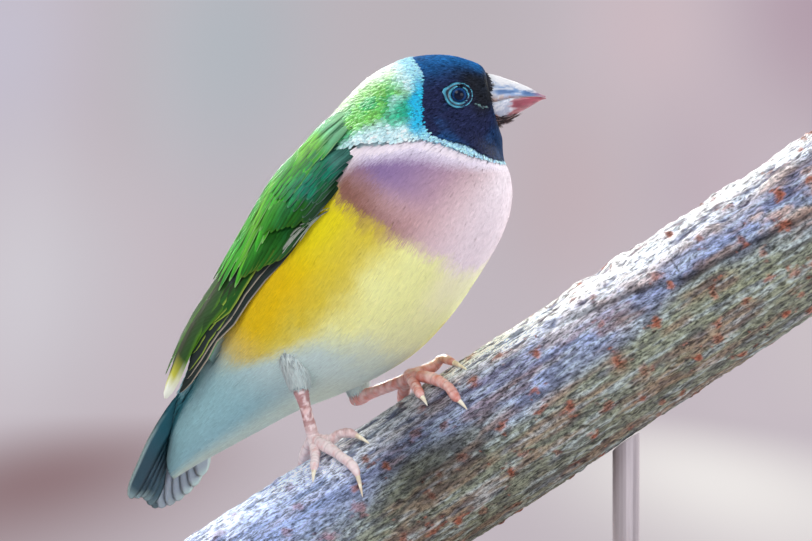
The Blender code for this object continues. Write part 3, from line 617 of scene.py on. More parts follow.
def horny(roughness, coat_weight):
    return {"Roughness": roughness, "Coat Weight": coat_weight}


def grained_bark():
    """Bark: the painted tones, broken up by fine dark and pale grain along the branch."""
    made, tree, shader = new_material("bark_surface", {"Roughness": 0.75, "Specular IOR Level": 0.3})
    along_branch = {"Rotation": (0, -math.radians(PERCH_SLOPE), 0), "Scale": (3.4, 1, 1)}
    grain = noise_over(tree, 2300.0, 6.0, along_branch, 0.8, vector_type="TEXTURE")
    paint = node(tree, "Attribute", attribute_name="Paint")
    colour = toned(tree, paint, grain, 0.22, 1.9, From_Min=0.4, From_Max=0.58)
    set_inputs(tree, shader, {"Base Color": colour})
    bump(tree, shader, grain, 0.9, 0.35)
    return made


def make_materials():
    made = {
        "skin": painted("skin_down", feathery(0.9), 0.75, 0.95, 1200.0),
        "wing": painted(
            "wing_feather", feathery(0.55, 0.0, 0.03), 0.92, 1.08, 1200.0, 0.6, 0.008, (150.0, 40.0)
        ),
        "gloss": painted("black_feather", feathery(0.55, 0.0, 0.04), 0.7, 1.3, 1500.0, depth=0.03),
        "soft": painted("soft_feather", feathery(0.8, 0.1, 0.08), 0.93, 1.07, 1200.0, depth=0.01),
        "scaly": painted("scaly_feather", feathery(0.55, 0.15), 0.8, 1.2, 1200.0),
        "eye": painted("eye_wet", {"Roughness": 0.1, "Specular IOR Level": 0.16}, 0.9, 1.1, 900.0, depth=0),
        "bark": grained_bark(),
    }
    for name, roughness, coat_weight, depth, scale in (
        ("lid", 0.4, 0.2, 0.03, 2500.0), ("horn", 0.28, 0.4, 0.015, 900.0), ("leg", 0.5, 0.1, 0.05, 1600.0),
        ("claw", 0.35, 0.3, 0.01, 900.0), ("hair", 0.6, 0.0, 0.02, 2000.0),
    ):
        made[name] = painted(name + "_surface", horny(roughness, coat_weight), 0.85, 1.15, scale, 0.5, depth)
    return made


# Camera, light and stage


def add_camera():
    lens = bpy.data.cameras.new("camera")
    lens.sensor_width = SENSOR
    lens.lens = SENSOR * CAMERA_AWAY / (PHOTO_SIZE[0] / PX_PER_MM)
    lens.clip_end = 50.0
    camera = bpy.data.objects.new("camera", lens)
    camera.location = Vector((CAMERA_X, -CAMERA_AWAY, CAMERA_Z)) * MM
    camera.rotation_euler = (math.pi / 2, 0, 0)
    bpy.context.scene.collection.objects.link(camera)
    bpy.context.scene.camera = camera


LIT_POINT = Vector((-15, 0, 90))
WARM = (1.0, 0.99, 0.97)
LIGHTS = (  # name, place, size, power, colour and spread in degrees
    ("rim", (-460, 520, 620), 300, 10.0, WARM, 180), ("edge", (-200, 820, 420), 160, 0.14, WARM, 20),
    ("rim_front", (560, 420, 380), 300, 4.0, WARM, 180),
    ("key", (-520, -700, 760), 560, 4.5, (1.0, 0.985, 0.96), 180),
    ("fill", (560, -900, 260), 700, 4.6, (0.95, 0.97, 1.0), 180),
)


def add_lights():
    scene = bpy.context.scene
    scene.view_settings.view_transform = "Standard"
    world = bpy.data.worlds.new("world")
    world.use_nodes = True
    sky = {"Color": (*linear(214, 218, 228), 1), "Strength": 0.45}
    set_inputs(world.node_tree, world.node_tree.nodes["Background"], sky)
    scene.world = world
    for name, at, size, power, colour, spread in LIGHTS:
        lamp = bpy.data.lights.new(name, "AREA")
        lamp.shape = "DISK"
        lamp.size = size * MM
        lamp.energy = power
        lamp.spread = math.radians(spread)
        lamp.color = colour
        obj = bpy.data.objects.new(name, lamp)
        obj.location = Vector(at) * MM
        obj.rotation_euler = (LIT_POINT * MM - obj.location).to_track_quat("-Z", "Y").to_euler()
        scene.collection.objects.link(obj)


BACKDROP = (  # (across, up) in photo pixels, reach, colour and share of soft patches
    (20, 60, 150, linear(196, 192, 206), 0.9), (240, 60, 160, linear(176, 184, 190), 0.9),
    (60, 290, 150, linear(212, 210, 216), 0.8), (190, 396, 160, linear(128, 96, 98), 0.8),
    (420, 20, 170, linear(184, 178, 182), 0.7), (640, 40, 110, linear(204, 184, 190), 0.8),
    (790, 20, 150, linear(170, 146, 160), 0.8), (560, 200, 110, linear(192, 172, 176), 0.8),
    (690, 190, 110, linear(184, 164, 174), 0.7), (590, 396, 155, linear(240, 236, 232), 0.9),
    (800, 330, 110, linear(206, 198, 198), 0.7),
)
BACKDROP_BASE = linear(194, 184, 190)
BACKDROP_GAIN = 0.9
# The backdrop's own glow: painted light, besides the lamps' light.
BACKDROP_GLOW = 0.96
BACKDROP_WIDER = 3.83  # how much wider the view is where it meets the backdrop
BACKDROP_FLATTEN = (1.0, 0.03, 0.7)  # patches lie across and up, and hardly change with depth
WALL_DEPTH, FLOOR_DEPTH = 0.255, 0.11  # flattened depths of the patches' middles, on wall and floor
FLOOR_ROW = 394  # photo pixels; patches lower than this lie on the floor


def backdrop_colour(tree):
    """The backdrop's tone with its soft patches, as one output."""
    place = node(tree, "TexCoord", out="Object")
    flat = node(tree, "VectorMath", {0: place, 1: BACKDROP_FLATTEN}, operation="MULTIPLY")
    colour = node(tree, "RGB")
    colour.default_value = (*BACKDROP_BASE * BACKDROP_GAIN, 1)
    wider = BACKDROP_WIDER / PX_PER_MM
    for across, up, reach, shade, share in BACKDROP:
        x = CAMERA_X + (across - PHOTO_SIZE[0] / 2) * wider
        z = CAMERA_Z + (PHOTO_SIZE[1] / 2 - up) * wider
        middle = (x * MM, WALL_DEPTH if up < FLOOR_ROW else FLOOR_DEPTH, z * MM * BACKDROP_FLATTEN[2])
        away = node(tree, "VectorMath", {0: flat, 1: middle}, out="Value", operation="DISTANCE")
        span = {"Value": away, "From Max": reach * wider * MM, "To Min": share, "To Max": 0.0}
        near = node(tree, "MapRange", span, interpolation_type="SMOOTHSTEP")
        shares = {0: near, 6: colour, 7: (*shade * BACKDROP_GAIN, 1)}
        colour = node(tree, "Mix", shares, out=2, data_type="RGBA")
    return colour


def add_stage():
    """A pale floor that sweeps up into a softly toned backdrop, wide enough for every view, glowing in its
    own tones as painted light.
    """
    half, front, depth, rise, high, sides = 9000.0, -8500.0, 7000.0, 1500.0, 4600.0, 32
    turn = math.pi / 2 * np.arange(1, sides + 1) / sides
    bend = stacked(depth + rise * np.sin(turn), rise * (1 - np.cos(turn)))
    profile = np.concatenate(([(front, 0.0), (depth, 0.0)], bend, [(depth + rise, high)]))
    across = np.linspace(-half, half, 25)
    points = np.array([[(x, *row) for x in across] for row in profile]).reshape(-1, 3)
    made, tree, shader = new_material("stage_paper", {
        "Roughness": 0.9, "Specular IOR Level": 0.0, "Emission Strength": BACKDROP_GLOW,
    })
    bands = noise_over(tree, 1.0, 1.0, {"Scale": (7.0, 0.0, 0.5)})
    colour = toned(tree, backdrop_colour(tree), bands, 0.86, 1.1)
    # Half the tone takes the lamps' light; the rest is the painted light of the emission.
    half_tone = node(tree, "VectorMath", {0: colour, "Scale": 0.5}, operation="SCALE")
    set_inputs(tree, shader, {"Base Color": half_tone, "Emission Color": colour})
    faces = [ring_faces(len(profile), len(across), closed=False)]
    stage = mesh_object("stage_floor", points, faces, None, made)


# Skin and coat


SPECK = np.array((0.003, 0.003))  # a small feather's patch on the bake map
ROUND = ((0.16, 0.55), (0.5, 1.0), (0.82, 0.8))
POINTED = ((0.15, 0.7), (0.5, 1.0), (0.8, 0.55))
NECK_SIDE = 62  # degrees from the back; the breast begins under the neck past them
THIGH_SPAN = 1.6  # how many thigh places the bake map holds, from 0.4 before the hip


def paint_of(root, draw, vary=0.07):
    tone = 1 + draw.normal(0, vary, (len(root), 1))
    return np.clip(plumage_and_painted_light(root[:, 0], root[:, 1]) * tone, 0, 1)


def growing(small, large, start, end):
    """A size that grows from small to large between two places."""
    return lambda root: mix(small, large, ramp(start, end, root[:, 0]))


def coat(name, count, places, degrees, weight, length, half_width, out, material, draw, shape=POINTED,
         fan=0.12, camber=0.16, tones=(0.9, 1.06, 1.0), vary=0.07, surface=body, section=BARB, lift=0.15,
         colour=None, soft=0.5):
    """One piece of the coat: small feathers spread over part of a surface."""
    root = scatter(count, surface, places, degrees, weight, draw)
    n = len(root)
    long_and_wide = [of(root) if callable(of) else of for of in (length, half_width)]
    size = stacked(*(of * draw.uniform(0.85, 1.15, n) for of in long_and_wide))
    heads = draw.normal(0, fan, n)
    middle, tip = draw.normal(0, 0.3, n) * lift, draw.normal(0, 1.0, n) * lift
    heights = stacked(out[0], out[1] + middle, out[2] + tip)
    shades = paint_of(root, draw, vary) if colour is None else colour(root, draw)
    at = (root[:, 0] / LAST) if surface is body else (root[:, 0] + 0.4) / THIGH_SPAN
    bake = stacked(root[:, 1] / 360 + 0.5, at), SPECK
    look = {"camber": camber, "thick": 0.08, "bake": bake, "tones": tones}
    parts = feathers(surface, root, heads, size, heights, shades, shape, section, **look)
    piece = joined(name, [parts], material, soft)
    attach(piece, "root")


def thigh_surface(side):
    """The thigh from the hip (place 0) to the ankle (place 1)."""
    hip, ankle = np.array(HIP[side]), np.array(ANKLE[side])
    axis = (ankle - hip) / length_of(ankle - hip)
    across = np.cross(axis, (0.0, 1.0, 0.0))
    across /= length_of(across)
    away = np.cross(axis, across)

    def surface(place, degrees, out=0.0):
        place = np.clip(place, THIGH[0][0], THIGH[-1][0])
        angle = np.radians(degrees)[..., None]
        reach = (table(THIGH, place) + out)[..., None]
        turn = np.cos(angle) * across + np.sin(angle) * away
        return hip + (ankle - hip) * place[..., None] + reach * turn

    return surface


def thigh_paint(root, draw):
    """White thigh feathers, with painted shade as dark streaks where they leave the belly."""
    n = len(root)
    place, turn = root.T
    pale = draw.uniform(0, 0.3, n)
    # Painted shade: feathers at the top of the thigh darkened into streaks, as shading between feathers.
    streak = ramp(0.6, 1.0, np.sin(turn * 0.23 + 3 * place) + draw.normal(0, 0.25, n))
    streak = streak * 0.6 * ramp(0.7, 0.2, place)
    colour = layered(linear(214, 228, 224), (SHADE, pale), (linear(84, 94, 104), streak))
    return colour * (1 + draw.normal(0, 0.06, (n, 1)))


def add_skin(material):
    """The bare form under the coat, in one piece with the thighs."""
    sides = 96
    degrees = np.arange(sides) * 360 / sides
    cells = grid(np.linspace(0, LAST, 161), np.where(degrees > 180, degrees - 360, degrees))
    forms = [lofted(body(*cells, -SKIN_DEPTH - WING_INSET * wing_bed(*cells)))]
    colours = [plumage_and_painted_light(np.append(cells[0].ravel(), (0, LAST)), np.append(cells[1].ravel(), (90, 90)))]
    thigh_cells = grid(np.linspace(-0.4, 1, 30), np.arange(36) * 10.0)
    for side, _ in SIDES:
        forms.append(lofted(thigh_surface(side)(*thigh_cells, -THIGH_DEPTH)))
        colours.append(np.tile(SHADE, (len(forms[-1][0]), 1)))
    skin = mesh_object("skin", *merged(forms), np.concatenate(colours), material)
    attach(skin, "root")
    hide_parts("head", "neck", "torso", "thigh_right", "thigh_left")


def on_head(s, d):
    """Where the mask's feathers grow: inside its edge, clear of the eye, closer at the front."""
    from_eye = body(s, d) - eye_centre(np.where(d > 0, 1, -1))
    clear = np.hypot(from_eye[..., 0], from_eye[..., 2]) > LID_REACH
    edge = table(MASK_EDGE, np.abs(d)) - mix(0.06, 0.44, ramp(96, 116, np.abs(d)))
    return (s < edge) * clear * mix(1.7, 1.0, ramp(0.5, 3.0, s))


def past_mask(place, degrees):
    return place - table(MASK_EDGE, np.abs(degrees))


def on_neck(s, d):
    turned, past = np.abs(d), past_mask(s, d)
    breast_edge = table(LILAC_TOP, turned) - 0.2 - 0.15 * ramp(0.15, 1.1, past)
    before = np.where(turned > NECK_SIDE, s < breast_edge, s < 9.6)
    return (past > -0.08) * before * (1 + 2.5 * ramp(0.9, 0.3, past))


def from_mask(small, large):
    return lambda root: mix(small, large, ramp(0.15, 1.1, past_mask(*root.T)))


def neck_paint(root, draw):
    """The neck's tones, kept clear of the mask and of the breast."""
    turned = np.abs(root[:, 1])
    low = np.where(turned > NECK_SIDE, table(LILAC_TOP, turned) - 0.07, LAST)
    place = np.clip(root[:, 0], table(MASK_EDGE, turned) + 0.08, low)
    return paint_of(stacked(place, root[:, 1]), draw, 0.2)


def on_breast(s, d):
    turned = np.abs(d)
    return (s > table(LILAC_TOP, turned) - 0.02) * (s < table(LILAC_LOW, turned) + 0.15) * (turned > 64)


def breast_paint(root, draw):
    place = np.maximum(root[:, 0], table(LILAC_TOP, np.abs(root[:, 1])) + 0.09)
    return paint_of(stacked(place, root[:, 1]), draw, 0.05)


def on_belly(s, d):
    turned = np.abs(d)
    low = table(WING_LOW_EDGE, s) - mix(9, 0, ramp(11.5, 13.5, s))
    return (s > table(LILAC_LOW, turned) - 0.1) * (turned > low) * (s < 16.6)


def on_back(s, d):
    return np.abs(d) < table(WING_TOP_EDGE, s) + 14 + 40 * (s > 16.4)


def add_coats(materials):
    draw = np.random.default_rng(SEED)
    gloss, soft, scaly = (materials[name] for name in ("gloss", "soft", "scaly"))
    coat(
        "coat_head", 11000, (0.03, 7.0), (-180, 180), on_head, growing(0.7, 1.35, 0.3, 3.5),
        growing(0.12, 0.2, 0.3, 3.5), (-0.3, 0.12, 0.16), gloss, draw,
        lift=0.05, fan=0.14, vary=0.3, soft=0.72, tones=(0.6, 1.4, 1.0),
    )
    coat(
        "coat_neck", 8200, (4.4, 9.6), (-180, 180), on_neck, from_mask(0.9, 2.1), from_mask(0.18, 0.42),
        (-0.4, 0.26, 0.4), scaly, draw, shape=ROUND, section=LEAF,
        fan=0.18, camber=0.3, lift=0.12, colour=neck_paint, tones=(0.66, 1.25, 1.2), soft=0.4,
    )
    low, smooth = (-0.3, 0.1, 0.12), {"lift": 0.025, "camber": 0.04, "soft": 0.9}
    for side, span, breast, fore, rear in (
        ("right", (0, 180), 7600, 9200, 9000), ("left", (-180, 0), 6600, 7000, 7000),
    ):
        coat(
            f"coat_breast_{side}", breast, (4.8, 11.0), span, on_breast, growing(1.6, 2.6, 6, 9), 0.2, low,
            soft, draw, fan=0.08, colour=breast_paint, **smooth,
        )
        for part, count, places in (("fore", fore, (9.0, 12.4)), ("rear", rear, (12.4, 16.6))):
            coat(
                f"coat_belly_{part}_{side}", count, places, span, on_belly, 3.6, 0.2, low, soft, draw,
                fan=0.06, vary=0.05, **smooth,
            )
    coat(
        "coat_vent", 5200, (15.8, 19.6), (-180, 180), lambda s, d: np.abs(d) > 66 + 0 * s,
        growing(4.2, 6.0, 16, 19), 0.3, (-0.3, 0.1, 0.1), soft, draw,
        fan=0.05, lift=0.03, vary=0.05, camber=0.05, soft=0.85,
    )
    coat(
        "coat_back", 5200, (8.6, 18.6), (-70, 70), on_back, 3.4, 0.45, (-0.6, 0.25, 0.36), scaly, draw,
        fan=0.1, camber=0.18, soft=0.6,
    )
    for side, _ in SIDES:
        coat(
            f"coat_thigh_{side}", 2600, (-0.36, 0.74), (-180, 180), lambda s, d: 1 + 0 * s,
            lambda root: mix(5.0, 2.2, np.clip(root[:, 0], 0, 1)), 0.15, (-0.5, 0.1, 0.3), soft, draw,
            fan=0.32, lift=0.2, surface=thigh_surface(side), camber=0.12, soft=0.75, colour=thigh_paint,
        )


# Wings


VANE_SECTION = (
    (-1.0, 0.0, 0.0), (-0.94, 0.15, 0.0), (-0.7, 0.5, 0.0), (-0.36, 0.85, 0.0), (-0.07, 0.98, 0.0),
    (0.0, 1.08, 0.0), (0.07, 0.98, 0.0), (0.36, 0.85, 0.0), (0.7, 0.5, 0.0), (0.94, 0.15, 0.0),
    (1.0, 0.0, 0.0), (0.5, 0.6, 1.0), (0.0, 0.9, 1.0), (-0.5, 0.6, 1.0),
)
LONG_SHAPE = (
    (0.03, 0.35), (0.08, 0.6), (0.15, 0.8), (0.25, 0.93), (0.38, 1.0), (0.52, 1.0), (0.65, 0.97), (0.76, 0.9),
    (0.85, 0.78), (0.91, 0.64), (0.955, 0.48), (0.985, 0.28),
)
LANCE_SHAPE = (
    (0.05, 0.4), (0.14, 0.7), (0.28, 0.92), (0.42, 1.0), (0.57, 0.93), (0.7, 0.78), (0.82, 0.57),
    (0.92, 0.35), (0.98, 0.16),
)
BROAD_SHAPE = (
    (0.05, 0.4), (0.14, 0.68), (0.28, 0.9), (0.45, 1.0), (0.6, 0.97), (0.74, 0.87), (0.85, 0.7), (0.93, 0.48),
    (0.98, 0.25),
)
PRIMARY_EDGE = (
    (10.8, 84), (11.76, 80), (13.0, 73), (13.8, 73), (14.6, 78), (15.6, 83), (16.5, 83), (17.1, 79), (18, 74)
)
VANE_THICKNESS = 0.16

LEAF_GREEN = linear(54, 148, 34)
DEEP_GREEN = linear(32, 90, 30)
BLUE_GREEN = linear(22, 118, 94)
YELLOW_GREEN = linear(124, 194, 56)
PALE_AQUA = linear(150, 206, 204)
WING_RIM_LIGHT = linear(170, 206, 160)
DARK_VANE = linear(46, 56, 54)
UMBER = linear(44, 50, 34)
PALE_EDGE = linear(176, 168, 150)
LIME_EDGE = linear(150, 176, 70)
SLATE = linear(150, 166, 176)
TIP_WHITE = linear(222, 228, 214)
TIP_YELLOW = linear(190, 190, 70)


def tiles(count, first):
    """Where each long feather sits on the bake map, as a tile of its own."""
    across = 15
    index = first + np.arange(count)
    at = np.stack((index % across + 0.5, index // across % across + 0.5), -1) / across
    return at, np.array((0.86, 0.9)) / across


def wing_tone(place, degrees, points):
    """The green of the folded wing over its places, dark and bluish at the bend, with a painted pale aqua
    sheen at the bend and painted rim light along the top edge.
    """
    wave = rough(points * 0.16 + 4.0, 3)
    return layered(
        LEAF_GREEN,
        (YELLOW_GREEN, ramp(0.0, 0.7, wave) * 0.55 * ramp(64, 50, degrees)),
        (DEEP_GREEN, ramp(48, 70, degrees + 8 * wave) * 0.9),
        (BLUE_GREEN, ramp(10.3, 8.9, place + wave) * ramp(48, 66, degrees)),
        (BLUE_GREEN, ramp(0.1, 0.7, -wave) * 0.25),
        (DEEP_GREEN, ramp(12.6, 14.4, place) * 0.55),
        (DARK_VANE, ramp(72, 84, degrees) * 0.75),
        # Painted pale aqua sheen at the bend.
        (PALE_AQUA, ramp(9.3, 8.6, place + 0.3 * wave) * 0.3),
        # Painted rim light along the wing's top edge.
        (WING_RIM_LIGHT, ramp(16, 4, degrees) * ramp(14.5, 12.5, place) * 0.4),
    )


def streaks(a, t, ids):
    """Fine lines along each feather, different on every one."""
    return rough(stacked(a + ids, t, ids), 3)[..., None]


def covert_paint(draw, count, edge, highlight_amount, root_shade=0.6, bright_to=90):
    """Green coverts: fine streaks along them, a darker shaft, a thin painted highlight along the edge and
    tip, and painted shade beside the edges and under the next row.
    """
    tones = 1 + draw.normal(0, 0.09, (count, 1))
    ids = draw.uniform(0, 90, (count, 1))

    def paint(t, a, points, place, degrees):
        far = np.abs(a)
        shade = wing_tone(place, np.minimum(degrees, bright_to), points)
        shade = shade * (1.08 + 0.55 * streaks(a * 5.5, t * 1.7, ids)) * tones[..., None]
        # A darker shaft, then painted shade in the gaps beside each feather's edges and at its root, under
        # the next row.
        dim = 1 - 0.2 * ramp(0.14, 0.0, far) - 0.4 * ramp(0.5, 0.82, far)
        dim = dim * mix(root_shade, 1.05, ramp(0.15, 0.8, t))
        # Painted highlight along the outer edge and the tip.
        rim = ramp(0.86, 1.0, far) * (0.25 + 0.75 * (a > 0)) * ramp(0.3, 0.7, t)
        rim = np.maximum(rim, ramp(0.93, 1.0, t) * 0.8) * np.broadcast_to(highlight_amount, (1, count)).T
        return layered(shade * dim[..., None], (edge, rim))

    return paint


def flight_paint(draw, count, web, edge, edge_from=0.82, green=0.0, tip_from=2.0):
    """Dark flight feathers, with a pale or green line along the outer edge."""
    tones = 1 + draw.normal(0, 0.08, (count, 1))
    ids = draw.uniform(0, 90, (count, 1))
    edges = np.broadcast_to(edge, (count, 3))[:, None]

    def paint(t, a, points, place, degrees):
        whole = np.ones((count, 1))
        shade = web * tones[..., None] * (1 + 0.25 * streaks(a * 4.0, t * 2.5, ids))
        ends = t + 0.05 * a + 0.03 * rough(points * 0.8, 2)
        return layered(
            shade,
            (DEEP_GREEN * 1.25, green * ramp(-0.3, 0.5, a + 0.2 * rough(points * 0.4, 2)) * whole),
            (edges, ramp(edge_from, 0.95, a) * ramp(0.1, 0.3, t) * whole),
            (TIP_YELLOW, ramp(tip_from, tip_from + 0.05, ends) * whole),
            (TIP_WHITE, ramp(tip_from + 0.04, tip_from + 0.1, ends) * whole),
        )

    return paint


def tier(count, first, last, half_width, out, draw, loose=0.05, rise=0.06):
    """Feathers side by side: first and last are (root place, root degrees, tip place, tip
    degrees), and each one lies a little over the one before."""
    part = np.linspace(0, 1, count)
    rows = mix(np.array(first, float), np.array(last, float), part[:, None])
    rows = rows + draw.normal(0, 1, rows.shape) * (0.02, 0.5, loose, 0.8)
    wide = mix(*half_width, part) * draw.uniform(0.95, 1.05, count)
    return rows[:, :2], rows[:, 2:], wide, np.array(out, float) + rise * np.arange(count)[:, None]


def add_wing(name, side, materials):
    draw = np.random.default_rng(SEED + side)
    surface = wing_surface(side)
    parts, number = [], 0

    def by_edge(place, degrees, out=0.0):
        return surface(place, table(PRIMARY_EDGE, place) + degrees, out)

    def lay(feather_tier, paint, shape=BROAD_SHAPE, camber=0.12, tilt=0.1, on=surface):
        nonlocal number
        count = len(feather_tier[0])
        look = {"camber": camber, "thick": VANE_THICKNESS, "bake": tiles(count, number), "tilt": tilt}
        parts.append(vanes(on, *feather_tier, paint, shape, VANE_SECTION, **look))
        number += count

    first, last = (11.2, -2, 17.1, -2), (11.6, -16, 15.6, -16)
    primaries = tier(7, first, last, (1.2, 1.5), (-0.3, 0.2, 0.3), draw, 0.0, 0.1)
    edges = np.array([PALE_EDGE, DARK_VANE, PALE_EDGE, LIME_EDGE, DARK_VANE, LIME_EDGE, PALE_EDGE])
    lay(primaries, flight_paint(draw, 7, DARK_VANE, edges), LONG_SHAPE, tilt=-0.02, on=by_edge)
    first, last = (11.4, 62, 14.9, 64), (12.2, 46, 16.6, 46)
    secondaries = tier(6, first, last, (1.9, 2.2), (-0.3, 0.7, 0.75), draw, 0.03)
    lay(secondaries, flight_paint(draw, 6, UMBER * 0.8, LIME_EDGE, 0.9, 0.7), LONG_SHAPE)
    tertials = tier(4, (12.4, 50, 16.4, 56), (11.6, 22, 15.8, 20), (2.9, 3.0), (-0.3, 1.0, 1.1), draw, 0.0)
    tertials[0][3] = (11.8, 38)
    tertials[1][:] = ((16.2, 64), (16.9, 60), (17.2, 36), (17.6, 66))
    tertials[2][:] = (2.6, 2.7, 3.0, 3.2)
    white_from = np.array([[2], [2], [2], [0.82]])  # only the last one has a pale tip
    lay(tertials, flight_paint(draw, 4, UMBER, YELLOW_GREEN * 0.5, 0.93, 0.35, white_from))
    greater = tier(9, (10.5, 80, 12.1, 77), (11.2, 56, 13.0, 62), (1.5, 1.8), (-0.4, 0.6, 0.8), draw)
    lay(greater, covert_paint(draw, 9, LIME_EDGE, 0.4))
    median = tier(9, (9.6, 80, 10.95, 81), (10.2, 54, 11.7, 60), (1.4, 1.8), (-0.4, 0.75, 0.95), draw)
    lay(median, covert_paint(draw, 9, YELLOW_GREEN, 0.2))
    for row in range(5):
        place = 9.75 - 0.28 * row
        first, last = (place, 80 - 1.5 * row, place + 0.95, 82 - 2 * row), (place + 0.1, 42, place + 1.1, 46)
        lesser = tier(10, first, last, (1.1, 1.3), (-0.5, 0.85, 1.05 - 0.04 * row), draw)
        lay(lesser, covert_paint(draw, 10, SLATE, 0.35))
    for row in range(6):
        place = 11.3 - 0.64 * row
        tip = place + mix(2.3, 1.6, row / 5)
        top = float(table(WING_TOP_EDGE, place))
        first, last = (place - 0.1, 52, tip - 0.2, 63), (place - 0.2, top - 4, tip + 0.2, top)
        scapulars = tier(9, first, last, (1.7, 2.0), (-0.3, 1.12, 1.22), draw, 0.2, 0.03)
        # The scapulars' painted highlight is pale, mixed with the green of the wing's painted rim light.
        paint = covert_paint(draw, 9, mix(YELLOW_GREEN, WING_RIM_LIGHT, 0.6), np.linspace(0.9, 0.3, 9), 0.8, 50)
        lay(scapulars, paint, LANCE_SHAPE, 0.08)
    first, last = (10.3, 86, 10.7, 84), (11.0, 79, 11.7, 77)
    small = tier(20, first, last, (0.14, 0.26), (-0.2, 0.9, 0.95), draw, 0.2, 0.0)
    lay(small, flight_paint(draw, 20, linear(120, 132, 118), linear(206, 212, 200), 0.4))
    wing = joined(name + "_feathers", parts, materials["wing"], 0.4)
    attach(wing, "root")
    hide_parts(name)


# Tail

TAIL_ROOT = (-55.2, 72.0)
TAIL_DIP = 72.5
TAIL_TURN = 35
RECTRICES = {1: (28.4, 27.8, 27.0, 26.6, 27.2, 27.8), -1: (28.4, 28.0, 27.3, 26.3, 25.1, 23.4)}  # lengths
RECTRIX_START = 3.6
RECTRIX_SPREAD = 4.2
RECTRIX_STEP = 0.24
TAIL_LEAN = -1.0
TAIL_SHAPE = (*LONG_SHAPE[:8], (0.84, 0.86), (0.9, 0.78), (0.94, 0.66), (0.97, 0.5), (0.99, 0.32))


def tail_surface(along, aside, out=0.0):
    dip = math.radians(TAIL_DIP)
    forward = TAIL_ROOT[0] - along * math.cos(dip) - out * math.sin(dip)
    up = TAIL_ROOT[1] - along * math.sin(dip) + out * math.cos(dip)
    return in_world(forward, up, aside, TAIL_TURN)


def rectrix_paint(index, side):
    """Dark tail feathers; the outer ones have white edges and tips, those of the far side the most."""
    outer = (ramp(0.0, 4.0, index) * np.where(side < 0, 1.0, 0.35))[:, None]
    far, last = (side < 0)[:, None], (index == 5)[:, None]

    def paint(t, a, points, place, degrees):
        slate = linear(60, 84, 94) * (1 + 0.2 * rough(points * 1.2, 3))[..., None]
        edge = ramp(0.7, 0.98, a * side[:, None]) * ramp(0.25, 0.6, t)
        edge = edge * np.maximum(0.2 + 0.8 * outer, 0.9 * last)
        return layered(
            slate,
            (TEAL, 0.55 * ramp(0.7, 0.3, t)),
            (linear(176, 188, 196), ramp(0.5, 0.8, t) * 0.85 * far),
            (WHITE, np.maximum(edge, ramp(0.9, 0.99, t) * (0.15 + 0.85 * outer))),
        )

    return paint


def add_tail(materials):
    index = np.repeat(np.arange(6), 2)
    side = np.tile((1, -1), 6)
    angle = np.radians(side * (index + 0.5) * RECTRIX_SPREAD + TAIL_LEAN)
    length = np.stack((RECTRICES[1], RECTRICES[-1]), -1).ravel() - RECTRIX_START
    aside = RECTRIX_START * np.sin(angle) + side * RECTRIX_STEP * index
    root = stacked(RECTRIX_START * np.cos(angle), aside)
    low = -RECTRIX_STEP * (index + 0.4 * (side < 0))
    out = low[:, None] + (-0.8, 0.1, -0.2)
    look = {"camber": 0.02, "thick": 0.08, "bake": tiles(len(index), 0)}
    size = stacked(length, 3.3 - 0.04 * index)
    paint = rectrix_paint(index, side)
    vane = feathers(tail_surface, root, angle, size, out, paint, TAIL_SHAPE, VANE_SECTION, **look)
    tail = joined("tail_feathers", [vane], materials["wing"], 0.2)
    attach(tail, "root")
    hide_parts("tail")


# Head details

EYE_FORWARD, EYE_UP, EYE_SIDE = 6.5, 124.6, 6.0
EYE_RADIUS = 2.25
LID_REACH = 2.6
LID_ROWS = (  # rows across the ring of lids as (radius, height, paint), with two ridges
    (1.42, -0.6, 0.0), (1.5, -0.12, 0.1), (1.62, 0.06, 0.8), (1.78, 0.14, 1.0), (1.93, 0.05, 0.7),
    (2.04, -0.08, 0.05), (2.2, -0.08, 0.0), (2.32, 0.04, 0.8), (2.48, 0.14, 1.0), (2.62, 0.06, 0.8),
    (2.76, -0.16, 0.2), (2.9, -0.8, 0.0),
)
LID_DARK = linear(12, 26, 46)
LID_TEAL = linear(80, 176, 206)
IRIS = linear(30, 76, 134)
PUPIL = linear(10, 14, 34)
EYE_EDGE = linear(6, 10, 26)
BILL = (  # rows of (forward, culmen, gape, keel, half width)
    (11.9, 128.9, 123.3, 119.5, 4.3), (13.6, 128.7, 123.4, 119.7, 4.1), (15.8, 128.0, 124.0, 120.5, 3.6),
    (18.0, 127.2, 124.2, 121.5, 2.9), (20.2, 126.2, 124.4, 122.6, 2.0), (22.0, 125.1, 124.4, 123.6, 1.1),
    (23.2, 124.5, 124.2, 123.95, 0.35),
)
BILL_SLANT, SLANT_FROM = 0.17, 124.0
BILL_GAP = 0.1
NOSTRIL = (12.9, 126.6)


def eye_centre(side):
    side = np.asarray(side, float)
    return in_world(EYE_FORWARD, EYE_UP, side * EYE_SIDE, 0.0 * side)


def head_depth(x, z, side):
    """How far aside the head's surface lies at points of its side view."""
    place, turn = np.meshgrid(np.linspace(0.05, 6, 180), np.linspace(25, 155, 160))
    near = body(place, turn * side, 0.05).reshape(-1, 3)
    gap = (near[None, :, 0] - x[:, None]) ** 2 + (near[None, :, 2] - z[:, None]) ** 2
    return near[gap.argmin(1), 1]


